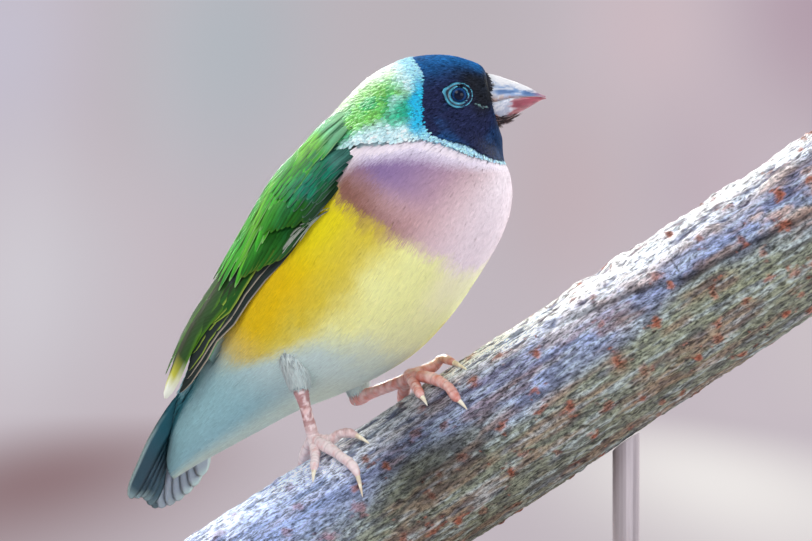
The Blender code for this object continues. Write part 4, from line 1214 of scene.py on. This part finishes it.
def add_eyeball(name, side, centre, material):
    """The ball with its iris and pupil."""
    p, q = grid(np.linspace(0, math.pi, 41), np.arange(64) * 2 * math.pi / 64)
    flat = stacked(np.sin(p) * np.cos(q), -side * np.cos(p), np.sin(p) * np.sin(q))
    bulge = 1 + 0.05 * np.exp(-(p / 0.45) ** 2)
    points = centre + flat * (EYE_RADIUS * bulge)[..., None]
    streak = 0.5 + 0.5 * np.sin(q * 19 + 3 * np.sin(q * 3))
    iris = IRIS * (0.6 + 0.4 * streak)[..., None]
    colour = layered(iris, (PUPIL, ramp(0.5, 0.42, p) * 0.95), (EYE_EDGE, ramp(0.62, 0.7, p)))
    inner = slice(1, -1), slice(None, None, 1 if side < 0 else -1)
    shade = np.concatenate((colour[inner].reshape(-1, 3), colour[[0, -1], 0]))
    eye = mesh_object(f"eyeball_{name}", *lofted(points[inner]), shade, material)
    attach(eye, "root")
    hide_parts(f"eye_{name}")


def add_lids(name, side, centre, material):
    """The ringed bare lids, laid on the ball and the head and drawn out at the rear corner."""
    count = 72
    around = np.arange(count) * 2 * math.pi / count
    rear = np.exp(-(((around - math.radians(163) + math.pi) % (2 * math.pi) - math.pi) / 0.28) ** 2)
    rings, paints = [], []
    for radius, height, teal in LID_ROWS[::side]:
        far = radius * (1 + 0.24 * rear * ramp(1.9, 2.5, radius))
        x, z = far * np.cos(around) * 1.03, far * np.sin(around) * 0.93
        ball = math.sqrt(max(EYE_RADIUS ** 2 - radius ** 2, 0)) + 0.02
        head = -side * (head_depth(centre[0] + x, centre[2] + z, side) - centre[1])
        out = mix(np.maximum(ball, head), head, ramp(1.6, 2.3, radius)) + height
        out = out + 0.025 * np.sin(around * 31 + radius * 9)
        rings.append(centre + np.stack((x, -side * out, z), -1))
        paints.append(layered(LID_DARK, (LID_TEAL, teal * (0.8 + 0.2 * np.sin(around * 7 + side)))))
    faces = [ring_faces(len(rings), count)]
    lids = mesh_object(f"lids_{name}", np.concatenate(rings), faces, np.concatenate(paints), material)
    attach(lids, "root")


def add_lore_skin(name, side, centre, material):
    """The pale crease of bare skin in front of the eye."""
    along = np.linspace(0, 1, 26)
    x = centre[0] + mix(2.9, 5.6, along)
    z = centre[2] + mix(-1.75, -2.5, along) + 0.12 * np.sin(along * 9)
    y = head_depth(x, z, side) - side * 0.02
    wide = 0.26 * np.sin(np.pi * mix(0.06, 0.97, along)) ** 0.5 * (1 + 0.35 * np.sin(along * 23))
    points, faces = lofted(swept(np.stack((x, y, z), -1), wide, 14))
    tint = layered(linear(34, 56, 66), (linear(92, 134, 132), ramp(-0.1, 0.5, rough(points * 1.6, 2))))
    mark = mesh_object(f"lore_skin_{name}", points, faces, tint, material)
    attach(mark, "root")


def add_eyes(materials):
    for name, side in SIDES:
        centre = eye_centre(side)
        add_eyeball(name, side, centre, materials["eye"])
        add_lids(name, side, centre, materials["lid"])
        add_lore_skin(name, side, centre, materials["lid"])


def bill_row(part):
    """Rows of the bill's table at parts of its length, smoothly between rows."""
    return through(BILL, np.asarray(part) * (len(BILL) - 1))


def on_bill(forward, gape, up, aside):
    """Points at a height over the gape, which slants with the bill."""
    return in_world(forward - BILL_SLANT * (gape + up - SLANT_FROM), gape + up, aside, 0.0)


def bill_paint(points, upper):
    part = (points[:, 0] - NECK_X - 12.0) / 11.2
    streak = rough(points * (0.3, 1.0, 2.4) + 3.0, 4)
    fine = rough(points * (1.0, 2.2, 5.0) + 11.0, 3)
    if upper:
        height = (points[:, 2] - 124.1) / 4.6
        rim = ramp(0.17, 0.05, height + 0.1 * (part - 0.3)) * ramp(0.9, 0.6, part)
        away = np.hypot(points[:, 0] - NECK_X - NOSTRIL[0], points[:, 2] - NOSTRIL[1])
        return layered(
            linear(128, 162, 206),
            (linear(76, 114, 166), ramp(-0.1, 0.4, streak) * ramp(0.02, 0.2, part) * 0.85),
            (linear(226, 232, 240), ramp(0.0, 0.55, -streak + 0.3 * fine) * 0.8),
            (linear(250, 250, 252), ramp(0.64, 0.86, height + 0.62 * part + 0.08 * fine)),
            (linear(222, 226, 228), ramp(0.2, 0.0, part) * 0.7),
            (linear(196, 128, 140), ramp(0.72, 0.98, part) * 0.8),
            (linear(150, 118, 104), rim * (0.5 + 0.4 * ramp(-0.2, 0.3, fine))),
            # Painted shade in the nostril's hollow.
            (linear(60, 60, 70), ramp(0.55, 0.3, away) * 0.85),
        )
    pale = layered(linear(176, 186, 204), (linear(222, 226, 232), ramp(-0.2, 0.4, fine)))
    return layered(
        linear(166, 80, 96),
        (linear(128, 52, 66), ramp(-0.2, 0.6, streak) * 0.6),
        (linear(214, 128, 116), ramp(122.6, 120.4, points[:, 2]) * ramp(0.3, 0.6, part) * 0.6),
        (pale, ramp(0.5, 0.34, part + 0.12 * streak)),
        (linear(208, 150, 156), ramp(0.9, 1.0, part) * 0.6),
    )


def bill_surface(upper, side):
    """Over the bill's side: place 0 at the base to 1 at the tip, degrees 0 at the gape to 90."""
    parts = np.linspace(-0.12, 1, 113)
    columns = bill_row(parts).T

    def surface(place, degrees, out=0.0):
        forward, culmen, gape, keel, half_width = (np.interp(place, parts, column) for column in columns)
        angle = np.radians(degrees)
        height = culmen - gape if upper else gape - keel
        up = (1 if upper else -1) * (height + out) * np.sin(angle)
        return on_bill(forward, gape, up, side * (half_width + out) * np.cos(angle))

    return surface


CHIN_CLUMPS = (  # (reach, degrees, droop) of each clump's tip
    (0.5, 84, 0.5), (0.44, 72, 0.25), (0.38, 92, 1.0), (0.3, 64, 0.3), (0.3, 80, 0.9), (0.2, 54, 0.35),
    (0.2, 88, 1.3), (0.12, 44, 0.3), (0.14, 70, 0.6),
)
LAP_PLACES = (0, 18, 45, 75, 90)
UPPER_LAP = (0.02, 0.12, 0.15, 0.07, 0.02)
LOWER_LAP = (0.05, 0.05, 0.02, 0.03, 0.04)


def bristles(upper, side, root, tip, wide, heights, tint, bend, bake_from):
    bake_at = stacked(root[:, 0] + bake_from, root[:, 1] / 200 + 0.3 + 0.1 * side)
    look = {"camber": 0.2, "thick": 0.05, "bake": (bake_at, SPECK)}
    return vanes(bill_surface(upper, side), root, tip, wide, heights, tint, POINTED, BARB, bend, **look)


def lap(draw, upper, side, count):
    """Short feathers that lap over the bill's base."""
    degrees = draw.uniform(-4, 86, count)
    wide = np.interp(degrees, LAP_PLACES, UPPER_LAP if upper else LOWER_LAP)
    root = stacked(mix(wide * 0.55, -0.1, draw.uniform(0, 1, count)), degrees)
    reach = mix(0.05, 0.09, draw.uniform(0, 1, count))
    tip = stacked(root[:, 0] + reach, degrees + draw.normal(0, 5, count))
    heights = stacked(-0.1, 0.28, draw.uniform(0.02, 0.16, count))
    tint = np.clip(mix(BLACK, LORE, 0.7 if upper else 0.2) * (1 + draw.normal(0, 0.25, (count, 1))), 0, 1)
    return bristles(upper, side, root, tip, np.full(count, 0.17), heights, tint, 0.0, 0.3)


def chin(draw, side, count=380):
    """The chin's feathers gather in clumps that reach forward under the bill."""
    reach, turn, droop = np.array(CHIN_CLUMPS)[draw.integers(0, len(CHIN_CLUMPS), count)].T
    degrees = turn + draw.normal(0, 7, count)
    root = stacked(draw.uniform(-0.1, 0.04, count) + 0.35 * reach * draw.uniform(0, 1, count), degrees)
    tip = stacked(reach * draw.uniform(0.75, 1.06, count), turn + draw.normal(0, 3, count))
    heights = stacked(-0.1, draw.uniform(0.1, 0.45, count), droop * draw.uniform(0.5, 1.2, count))
    tint = np.clip(linear(44, 30, 34) * (1 + draw.normal(0, 0.3, (count, 1))), 0, 1)
    tint = np.where(draw.uniform(0, 1, (count, 1)) < 0.08, linear(190, 150, 146), tint)
    wide = draw.uniform(0.08, 0.2, count)
    return bristles(False, side, root, tip, wide, heights, tint, draw.normal(0, 6, count), 0.6)


def add_face(materials):
    draw = np.random.default_rng(SEED + 40)
    parts = []
    for _, side in SIDES:
        parts += [lap(draw, True, side, 640), lap(draw, False, side, 300), chin(draw, side)]
    face = joined("face_bristles", parts, materials["hair"], 0.3)
    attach(face, "root")


def bill_rings(upper):
    """Sections of one mandible: domed outside and flat along the line of the mouth."""
    sign, angle, floor = (1 if upper else -1), np.linspace(0, math.pi, 45), np.linspace(0, 1, 9)[1:-1]
    rings = []
    for forward, culmen, gape, keel, half_width in bill_row(np.linspace(0, 1, 61) ** 0.85):
        height = (culmen - gape if upper else gape - keel) - BILL_GAP / 2
        up = sign * (BILL_GAP / 2 + height * np.sin(angle) ** 0.9)
        dome = on_bill(forward, gape, up, half_width * np.cos(angle))
        bottom = on_bill(forward, gape, 0.0, half_width * mix(-1, 1, floor)) + (0, 0, sign * BILL_GAP / 2)
        rings.append(np.concatenate((dome, bottom)))
    return np.array(rings)


def add_bill(materials):
    for name, upper in (("bill_upper", True), ("bill_lower", False)):
        rings = bill_rings(upper)
        if upper:
            away = np.hypot(rings[..., 0] - NECK_X - NOSTRIL[0], rings[..., 2] - NOSTRIL[1])
            rings[..., 1] -= np.sign(rings[..., 1] - NECK_Y) * 0.5 * np.exp(-(away / 0.45) ** 2)
        points, faces = lofted(rings if upper else rings[:, ::-1])
        piece = mesh_object(f"horn_{name}", points, faces, bill_paint(points, upper), materials["horn"])
        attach(piece, "root")
        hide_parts(name)


# Legs and feet

PERCH_X, PERCH_Z = 5.77, 60.5
PERCH_SLOPE = 33.1
PERCH_RADIUS = 15.15
PERCH_TAPER = -0.0062
PERCH_FROM, PERCH_TO = -68.0, 84.0
TOES = {  # places of each toe's joints as (along the branch, degrees round it, lift)
    "right": {
        "hind": ((-31.6, -2, 1.2), (-34.0, -14, 0.1), (-35.8, -30, 0), (-36.6, -46, 0), (-36.4, -60, 0.1)),
        "inner": ((-30.6, 6, 1.2), (-28.4, 14, 0.2), (-26.2, 19, 0.7), (-24.2, 25, 0.2), (-22.2, 40, -0.6)),
        "middle": ((-31.0, 10, 1.2), (-29.6, 24, 0.3), (-28.4, 41, 0.1), (-27.4, 57, 0.1), (-28.9, 75, -0.6)),
        "outer": ((-31.3, 10, 1.1), (-32.0, 18, 0.2), (-32.8, 27, 0.1), (-33.8, 34, 0), (-35.4, 41, -0.6)),
    },
    "left": {
        "hind": ((-9.8, -2, 0.9), (-11.6, -14, 0), (-12.9, -28, 0), (-13.6, -44, 0), (-13.8, -58, 0.1)),
        "inner": ((-9.0, 6, 1.2), (-9.0, 16, 0.1), (-9.1, 24, 0.1), (-9.1, 31, 0), (-9.0, 39, -0.6)),
        "middle": ((-8.6, 4, 1.3), (-5.6, 24, 0.2), (-3.9, 41, 0.1), (-3.7, 53, 0.1), (-3.0, 62, -0.6)),
        "outer": ((-8.0, 2, 1.3), (-4.4, -3, 0.5), (-2.0, -3, 0.9), (-0.8, 10, 0.1), (1.2, 30, -0.6)),
    },
}
TOE_RADII = {
    "hind": (1.2, 1.1, 1.0, 0.85, 0.3), "inner": (1.15, 1.0, 0.95, 0.8, 0.25),
    "middle": (1.25, 1.1, 1.0, 0.85, 0.25), "outer": (1.15, 1.0, 0.9, 0.75, 0.25),
}
TOE_STEPS, LEG_STEPS, LEG_SIDES = 90, 60, 24
CLAW_FROM = 0.84
CLAW_DROP = 0.35
ANKLE = {"right": (-32.4, -4.0, 67.6), "left": (-21.2, 10.2, 66.6)}
HIP = {"right": (-34.6, -4.6, 79.0), "left": (-24.0, 10.6, 77.0)}
THIGH = ((-0.4, 0.4), (-0.2, 1.3), (0.0, 2.2), (0.3, 2.8), (0.6, 2.6), (0.85, 2.0), (1.0, 1.6), (1.12, 1.3))
GAP = 0.3

PINK = linear(240, 222, 222)
RED_PINK = linear(204, 100, 72)
PALE_PINK = linear(250, 238, 236)
CLAW = linear(246, 240, 214)
# The near leg is painted paler, as lit, and the far leg redder, as in shade.
LEG_TONES_LIT_AND_SHADED = {"right": (0.0, 0.5, 1.0), "left": (0.6, 1.0, 0.8)}  # shares of red, red and pale in each leg


def perch_surface(along, degrees, out=0.0):
    swell = 0.22 * np.sin(along / 9.0 + 1.3) * np.cos(np.radians(2 * degrees) + along / 31.0)
    knot = 0.9 * np.exp(-((along - 52.0) / 7.0) ** 2 - ((degrees - 62.0) / 30.0) ** 2)
    reach = PERCH_RADIUS + PERCH_TAPER * along + swell + knot + out
    slope, angle = math.radians(PERCH_SLOPE), np.radians(degrees)
    x = PERCH_X + along * math.cos(slope) - reach * np.cos(angle) * math.sin(slope)
    z = PERCH_Z + along * math.sin(slope) + reach * np.cos(angle) * math.cos(slope)
    return np.stack(np.broadcast_arrays(x, -reach * np.sin(angle), z), -1)


def curve_through(points, count):
    """Points evenly in parameter on a smooth curve through the given ones."""
    return through(points, np.linspace(0, len(points) - 1, count))


def widths_through(radii, count):
    return curve_through(np.array(radii)[:, None], count)[:, 0]


def swept(path, radii, sides, profile=None):
    """Rings along a path; profile(part, angle) scales the radius, with angle 0 facing up."""
    forward = np.gradient(path, axis=0)
    forward /= length_of(forward, True)
    side = np.cross(forward, (0.0, -0.25, 1.0))
    side /= length_of(side, True)
    top = np.cross(side, forward)
    angle = np.arange(sides) * 2 * math.pi / sides
    part = np.linspace(0, 1, len(path))[:, None]
    reach = np.asarray(radii)[:, None] * (profile(part, angle[None]) if profile else np.ones(sides))
    turn = np.cos(angle)[:, None] * top[:, None] + np.sin(angle)[:, None] * side[:, None]
    return path[:, None] + reach[..., None] * turn


def scutes(count, depth):
    """Overlapping plates along the top of a leg or toe, and fine pebbles under it."""
    def profile(part, angle):
        over = ramp(-0.4, 0.5, np.cos(angle))
        saw = (part * count) % 1.0
        plate = (ramp(0.0, 0.6, saw) * ramp(1.0, 0.8, saw) - 0.6) * over
        pebble = 0.5 * np.sin(part * count * 13) * np.sin(angle * 9) * (1 - over)
        return 1 + depth * (plate + pebble)

    return profile


def scaly_limb(path, wide, count, depth):
    """A swept leg or toe, and its tones, with painted shade darkening the creases between the plates."""
    saw = (np.linspace(0, 1, len(path)) * count) % 1.0
    # Painted shade in the creases between the plates.
    crease = 1 - 0.24 * np.maximum(ramp(0.12, 0.0, saw), ramp(0.9, 1.0, saw))
    form = lofted(swept(path, wide, LEG_SIDES, scutes(count, depth)))
    return form, np.append(np.repeat(crease, LEG_SIDES), (1.0, 1.0))


def leg_paint(points, base, shade, pale):
    spot = rough(points * 1.1, 3)
    return layered(base, (shade, ramp(0.0, 0.8, spot) * 0.6), (pale, ramp(0.0, 0.7, -spot) * 0.6))


def toe_and_claw(side, toe, middle):
    """A scaly toe from the foot's middle, and the claw at its end."""
    radii = TOE_RADII[toe]
    points = [perch_surface(al, de, GAP + r + up) for (al, de, up), r in zip(TOES[side][toe], radii)]
    path = curve_through([middle + (points[0] - middle) * 0.2, *points], TOE_STEPS)
    wide = widths_through((1.3, *radii), TOE_STEPS)
    knuckles = 1 + 0.07 * np.sin(np.linspace(0, 1, TOE_STEPS) * 3 * 2 * math.pi)
    cut = int(TOE_STEPS * CLAW_FROM)
    toe_wide = (wide * knuckles)[:cut + 4]
    toe_wide[-5:] *= np.linspace(0.96, 0.45, 5)
    part = np.linspace(0, 1, TOE_STEPS - cut + 2)
    claw_path = path[cut - 2:] - CLAW_DROP * part[:, None] ** 2 * (0, 0, 1)
    claw = lofted(swept(claw_path, mix(0.56, 0.05, part ** 1.3), 14))
    return scaly_limb(path[:cut + 4], toe_wide, 12, 0.09), claw


def add_feet(materials):
    for side, _ in SIDES:
        near = side == "right"
        along, degrees, _ = TOES[side]["middle"][0]
        middle, ankle = perch_surface(along - 0.2, degrees - 3, GAP + 2.0), np.array(ANKLE[side])
        limbs, claws = zip(*(toe_and_claw(side, toe, middle) for toe in TOES[side]))
        joints = [mix(middle, ankle, part) for part in (0, 0.35, 0.75, 1, 1.12)]
        wide = widths_through((1.25, 1.15, 1.12, 1.5, 1.2), LEG_STEPS)
        limbs = [*limbs, scaly_limb(curve_through(joints, LEG_STEPS), wide, 13, 0.07)]
        points, faces = merged([form for form, _ in limbs])
        base, shade, pale = LEG_TONES_LIT_AND_SHADED[side]
        tones = mix(PINK, RED_PINK, base), mix(PINK, RED_PINK, shade), mix(RED_PINK, PALE_PINK, pale)
        # The tones carry painted shade in the creases between the plates.
        skin = leg_paint(points, *tones) * np.concatenate([bands for _, bands in limbs])[:, None]
        high = ramp(ankle[2] - 10, ankle[2] - 5, points[:, 2]) * near
        skin = layered(skin, (linear(158, 98, 94), high * ramp(-0.6, 0.1, rough(points * 1.6, 2)) * 0.8))
        leg = mesh_object(f"leg_skin_{side}", points, faces, skin, materials["leg"])
        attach(leg, "root")
        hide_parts(f"foot_{side}", f"tarsus_{side}")
        points, faces = merged(claws)
        tint = leg_paint(points, CLAW, linear(206, 180, 150), linear(250, 248, 236))
        piece = mesh_object(f"claws_{side}", points, faces, tint, materials["claw"])
        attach(piece, "root")


# Perch


FOLD = ((16.0, 42.0), (22.7, 47.0), (36.0, 58.0), (45.5, 70.0), (58.0, 74.0), (70.3, 81.0), (84.0, 84.0))
KNOT = (45.5, 70.0)
SCAR = (26.0, 96.0)
RUST = linear(142, 84, 64)
PALE_RUST = linear(196, 140, 116)
DEEP_RUST = linear(64, 32, 28)
CUT_WOOD = linear(142, 108, 72)


def bark(along, degrees):
    """Height and paint of the bark over the branch, the paint with a painted highlight on top, painted shade
    in the cracks and under the bird, and painted light at the left end.
    """
    angle = np.radians(degrees)
    ring = np.stack((along, np.cos(angle) * PERCH_RADIUS, np.sin(angle) * PERCH_RADIUS), -1)
    wave = rough(ring * (0.04, 0.12, 0.12) + 2.0, 3)
    grain = 1 - 2.2 * np.abs(rough(ring * (0.14, 0.6, 0.6) + 7.0, 4))
    flake = 1 - 2.2 * np.abs(rough(ring * (0.38, 1.0, 1.0) + 31.0, 3))
    fine = rough(ring * (1.1, 2.2, 2.2) + 57.0, 3)
    lump = rough(ring * (0.22, 0.4, 0.4) + 90.0, 4)
    fibre = rough(ring * (0.12, 1.7, 1.7) + 44.0, 3)
    brown = rough(ring * (0.1, 0.5, 0.5) + 70.0, 3)
    turned = np.abs(degrees)
    past = degrees - table(FOLD, along) - 5 * wave
    over = ramp(3, -3, past) * ramp(14, 30, along) * ramp(-60, -30, degrees)
    crack = np.exp(-(past / 2.2) ** 2) * ramp(14, 28, along)
    away = np.hypot(along - KNOT[0], (degrees - KNOT[1]) * 0.26)
    spokes = np.abs(np.sin(3.5 * np.arctan2(degrees - KNOT[1], (along - KNOT[0]) * 3.8) + 1.2 * wave))
    star = np.exp(-(away / 4.5) ** 2)
    scar = np.exp(-(np.hypot((along - SCAR[0]) / 1.8, (degrees - SCAR[1]) / 7.5)) ** 2)
    out = 0.16 * grain + 0.13 * flake + 0.08 * fine + 0.13 * fibre + over * (0.45 + 0.55 * lump)
    out = out - 0.3 - 0.5 * crack - 0.55 * ramp(0.25, 0.0, spokes) * star + 0.25 * scar - 0.45 * scar ** 4
    # Painted highlight: a whitish top on the branch, brightest on its raised grain.
    bright = ramp(66, 14, turned + 16 * wave) * ramp(-0.7, 0.6, grain + 0.5 * flake + 0.3 * over)
    dark = np.maximum(ramp(0.0, -0.8, grain), ramp(-0.1, -0.9, flake))
    colour = layered(
        linear(132, 146, 184),
        (linear(96, 90, 116), ramp(-0.15, 0.6, wave + 0.3 * lump) * 0.7),
        (linear(122, 128, 100), ramp(60, 92, turned + 14 * wave) * 0.9),
        (linear(138, 104, 84), ramp(0.0, 0.6, brown) * 0.5),
        (linear(196, 168, 150), over * ramp(-0.2, 0.6, lump) * 0.6),
        # Painted highlight over the top of the branch.
        (linear(250, 253, 255), bright * 0.95),
        (linear(178, 196, 206), ramp(0.1, 0.8, fibre + 0.3 * flake) * 0.4),
        (linear(46, 44, 60), np.maximum(dark, ramp(0.15, 0.8, -fibre) * 0.8) * 0.6),
        # Painted shade: near black in the fold's crack and the knot's splits.
        (linear(24, 22, 30), np.maximum(crack * 0.8, ramp(0.3, 0.0, spokes) * star)),
        (linear(122, 78, 54), scar * 0.8),
    )
    add_pores(along, degrees, out, colour, 0.55 * fine + 0.3 * flake)
    # Painted light: paler and bluer over the upper side of the branch's left end.
    colour = layered(colour, (linear(156, 180, 226), ramp(-24, -40, along) * ramp(110, 70, turned) * 0.4))
    shaded = np.exp(-((along + 15) / 12) ** 2) * ramp(120, 90, turned) * ramp(-40, 10, degrees)
    return out, np.clip(colour * (1.2 - 0.75 * shaded)[..., None], 0, 1)


def add_pores(along, degrees, out, colour, ragged):
    """Raised rusty pores in loose rows, worked into the bark's height and paint."""
    draw = np.random.default_rng(SEED + 60)
    for row in np.arange(-160, 180, 21.0):
        places = np.cumsum(draw.uniform(4.0, 19.0, 20)) + PERCH_FROM - 6
        for place in places[(places > PERCH_FROM + 1) & (places < PERCH_TO - 1)]:
            turn = row + draw.normal(0, 5.5)
            wide, long = draw.uniform(0.5, 1.2), draw.uniform(0.6, 1.4)
            near = np.abs(along[:, 0] - place) < 3
            apart = (degrees[near] - turn + 180) % 360 - 180
            r = np.hypot((along[near] - place) / long, np.radians(apart) * PERCH_RADIUS / wide)
            r = r * (1 + ragged[near])
            out[near] += 0.26 * ramp(1.5, 0.6, r) - 0.34 * ramp(0.5, 0.1, r)
            amount, pale, deep = draw.uniform(0.5, 1.0), draw.uniform(0, 0.6), draw.uniform(0.2, 0.8)
            pale, deep = pale * ramp(0.5, 1.2, r), deep * ramp(0.55, 0.1, r)
            shade = layered(RUST, (PALE_RUST, pale), (DEEP_RUST, deep))
            colour[near] = layered(colour[near], (shade, ramp(1.4, 0.5, r) * amount))


def end_rings(ring):
    """Rings towards the middle of the branch's cut end, with the tones of its year rings."""
    middle = ring.mean(0)
    share = np.linspace(0.96, 0.06, 14)[:, None]
    rings = middle + (ring - middle) * share[..., None]
    year = 0.5 + 0.5 * np.sin(share * 46 + 2 * rough(rings * 0.15, 2))
    return rings, layered(linear(196, 168, 128), (CUT_WOOD, year))


def add_perch(materials):
    rows, sides = 460, 250
    cells = grid(np.linspace(PERCH_FROM, PERCH_TO, rows), np.arange(sides) * 360 / sides - 180)
    out, colour = bark(*cells)
    rings = perch_surface(*cells, out)
    low, low_paint = end_rings(rings[0])
    high, high_paint = end_rings(rings[-1])
    points, faces = lofted(np.concatenate((low[::-1], rings, high)))
    paint = np.concatenate((low_paint[::-1], colour, high_paint)).reshape(-1, 3)
    paint = np.concatenate((paint, [CUT_WOOD, CUT_WOOD]))
    perch = mesh_object("perch_bark", points, faces, paint, materials["bark"])
    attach(perch, "root")
    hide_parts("perch")


STAND_LOOKS = (  # name, dark and light tone, grain's scale and stretch, roughness, metal, nodes
    ("stand_wood", (58, 36, 24), (104, 68, 44), 60.0, (0.2, 2.0, 2.0), 0.42, 0.0, ("stand_base",)),
    ("stand_metal", (176, 168, 172), (196, 188, 192), 900.0, (1, 1, 0.05), 0.5, 0.35,
     ("stand_rod_left", "stand_rod_right")),
)


def dress_stand():
    """Wood for the base and satin metal for the rods."""
    for name, low, high, scale, stretch, roughness, metal, nodes in STAND_LOOKS:
        made, tree, shader = new_material(name, {"Roughness": roughness, "Metallic": metal})
        grain = noise_over(tree, scale, 6.0, {"Scale": stretch})
        tone = node(tree, "ValToRGB", {"Fac": grain})
        for stop, position, shade in zip(tone.node.color_ramp.elements, (0.35, 0.65), (low, high)):
            stop.position, stop.color = position, (*linear(*shade), 1)
        set_inputs(tree, shader, {"Base Color": tone})
        bump(tree, shader, grain, 0.3, 0.05)
        for part in nodes:
            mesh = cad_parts[part].data
            if not mesh.materials:
                mesh.materials.append(made)
            for slot in range(len(mesh.materials)):
                mesh.materials[slot] = made


def main():
    add_camera()
    add_lights()
    add_stage()
    materials = make_materials()
    add_skin(materials["skin"])
    add_coats(materials)
    for side, sign in SIDES:
        add_wing(f"wing_{side}", sign, materials)
    add_tail(materials)
    add_eyes(materials)
    add_bill(materials)
    add_face(materials)
    add_feet(materials)
    add_perch(materials)
    dress_stand()


main()
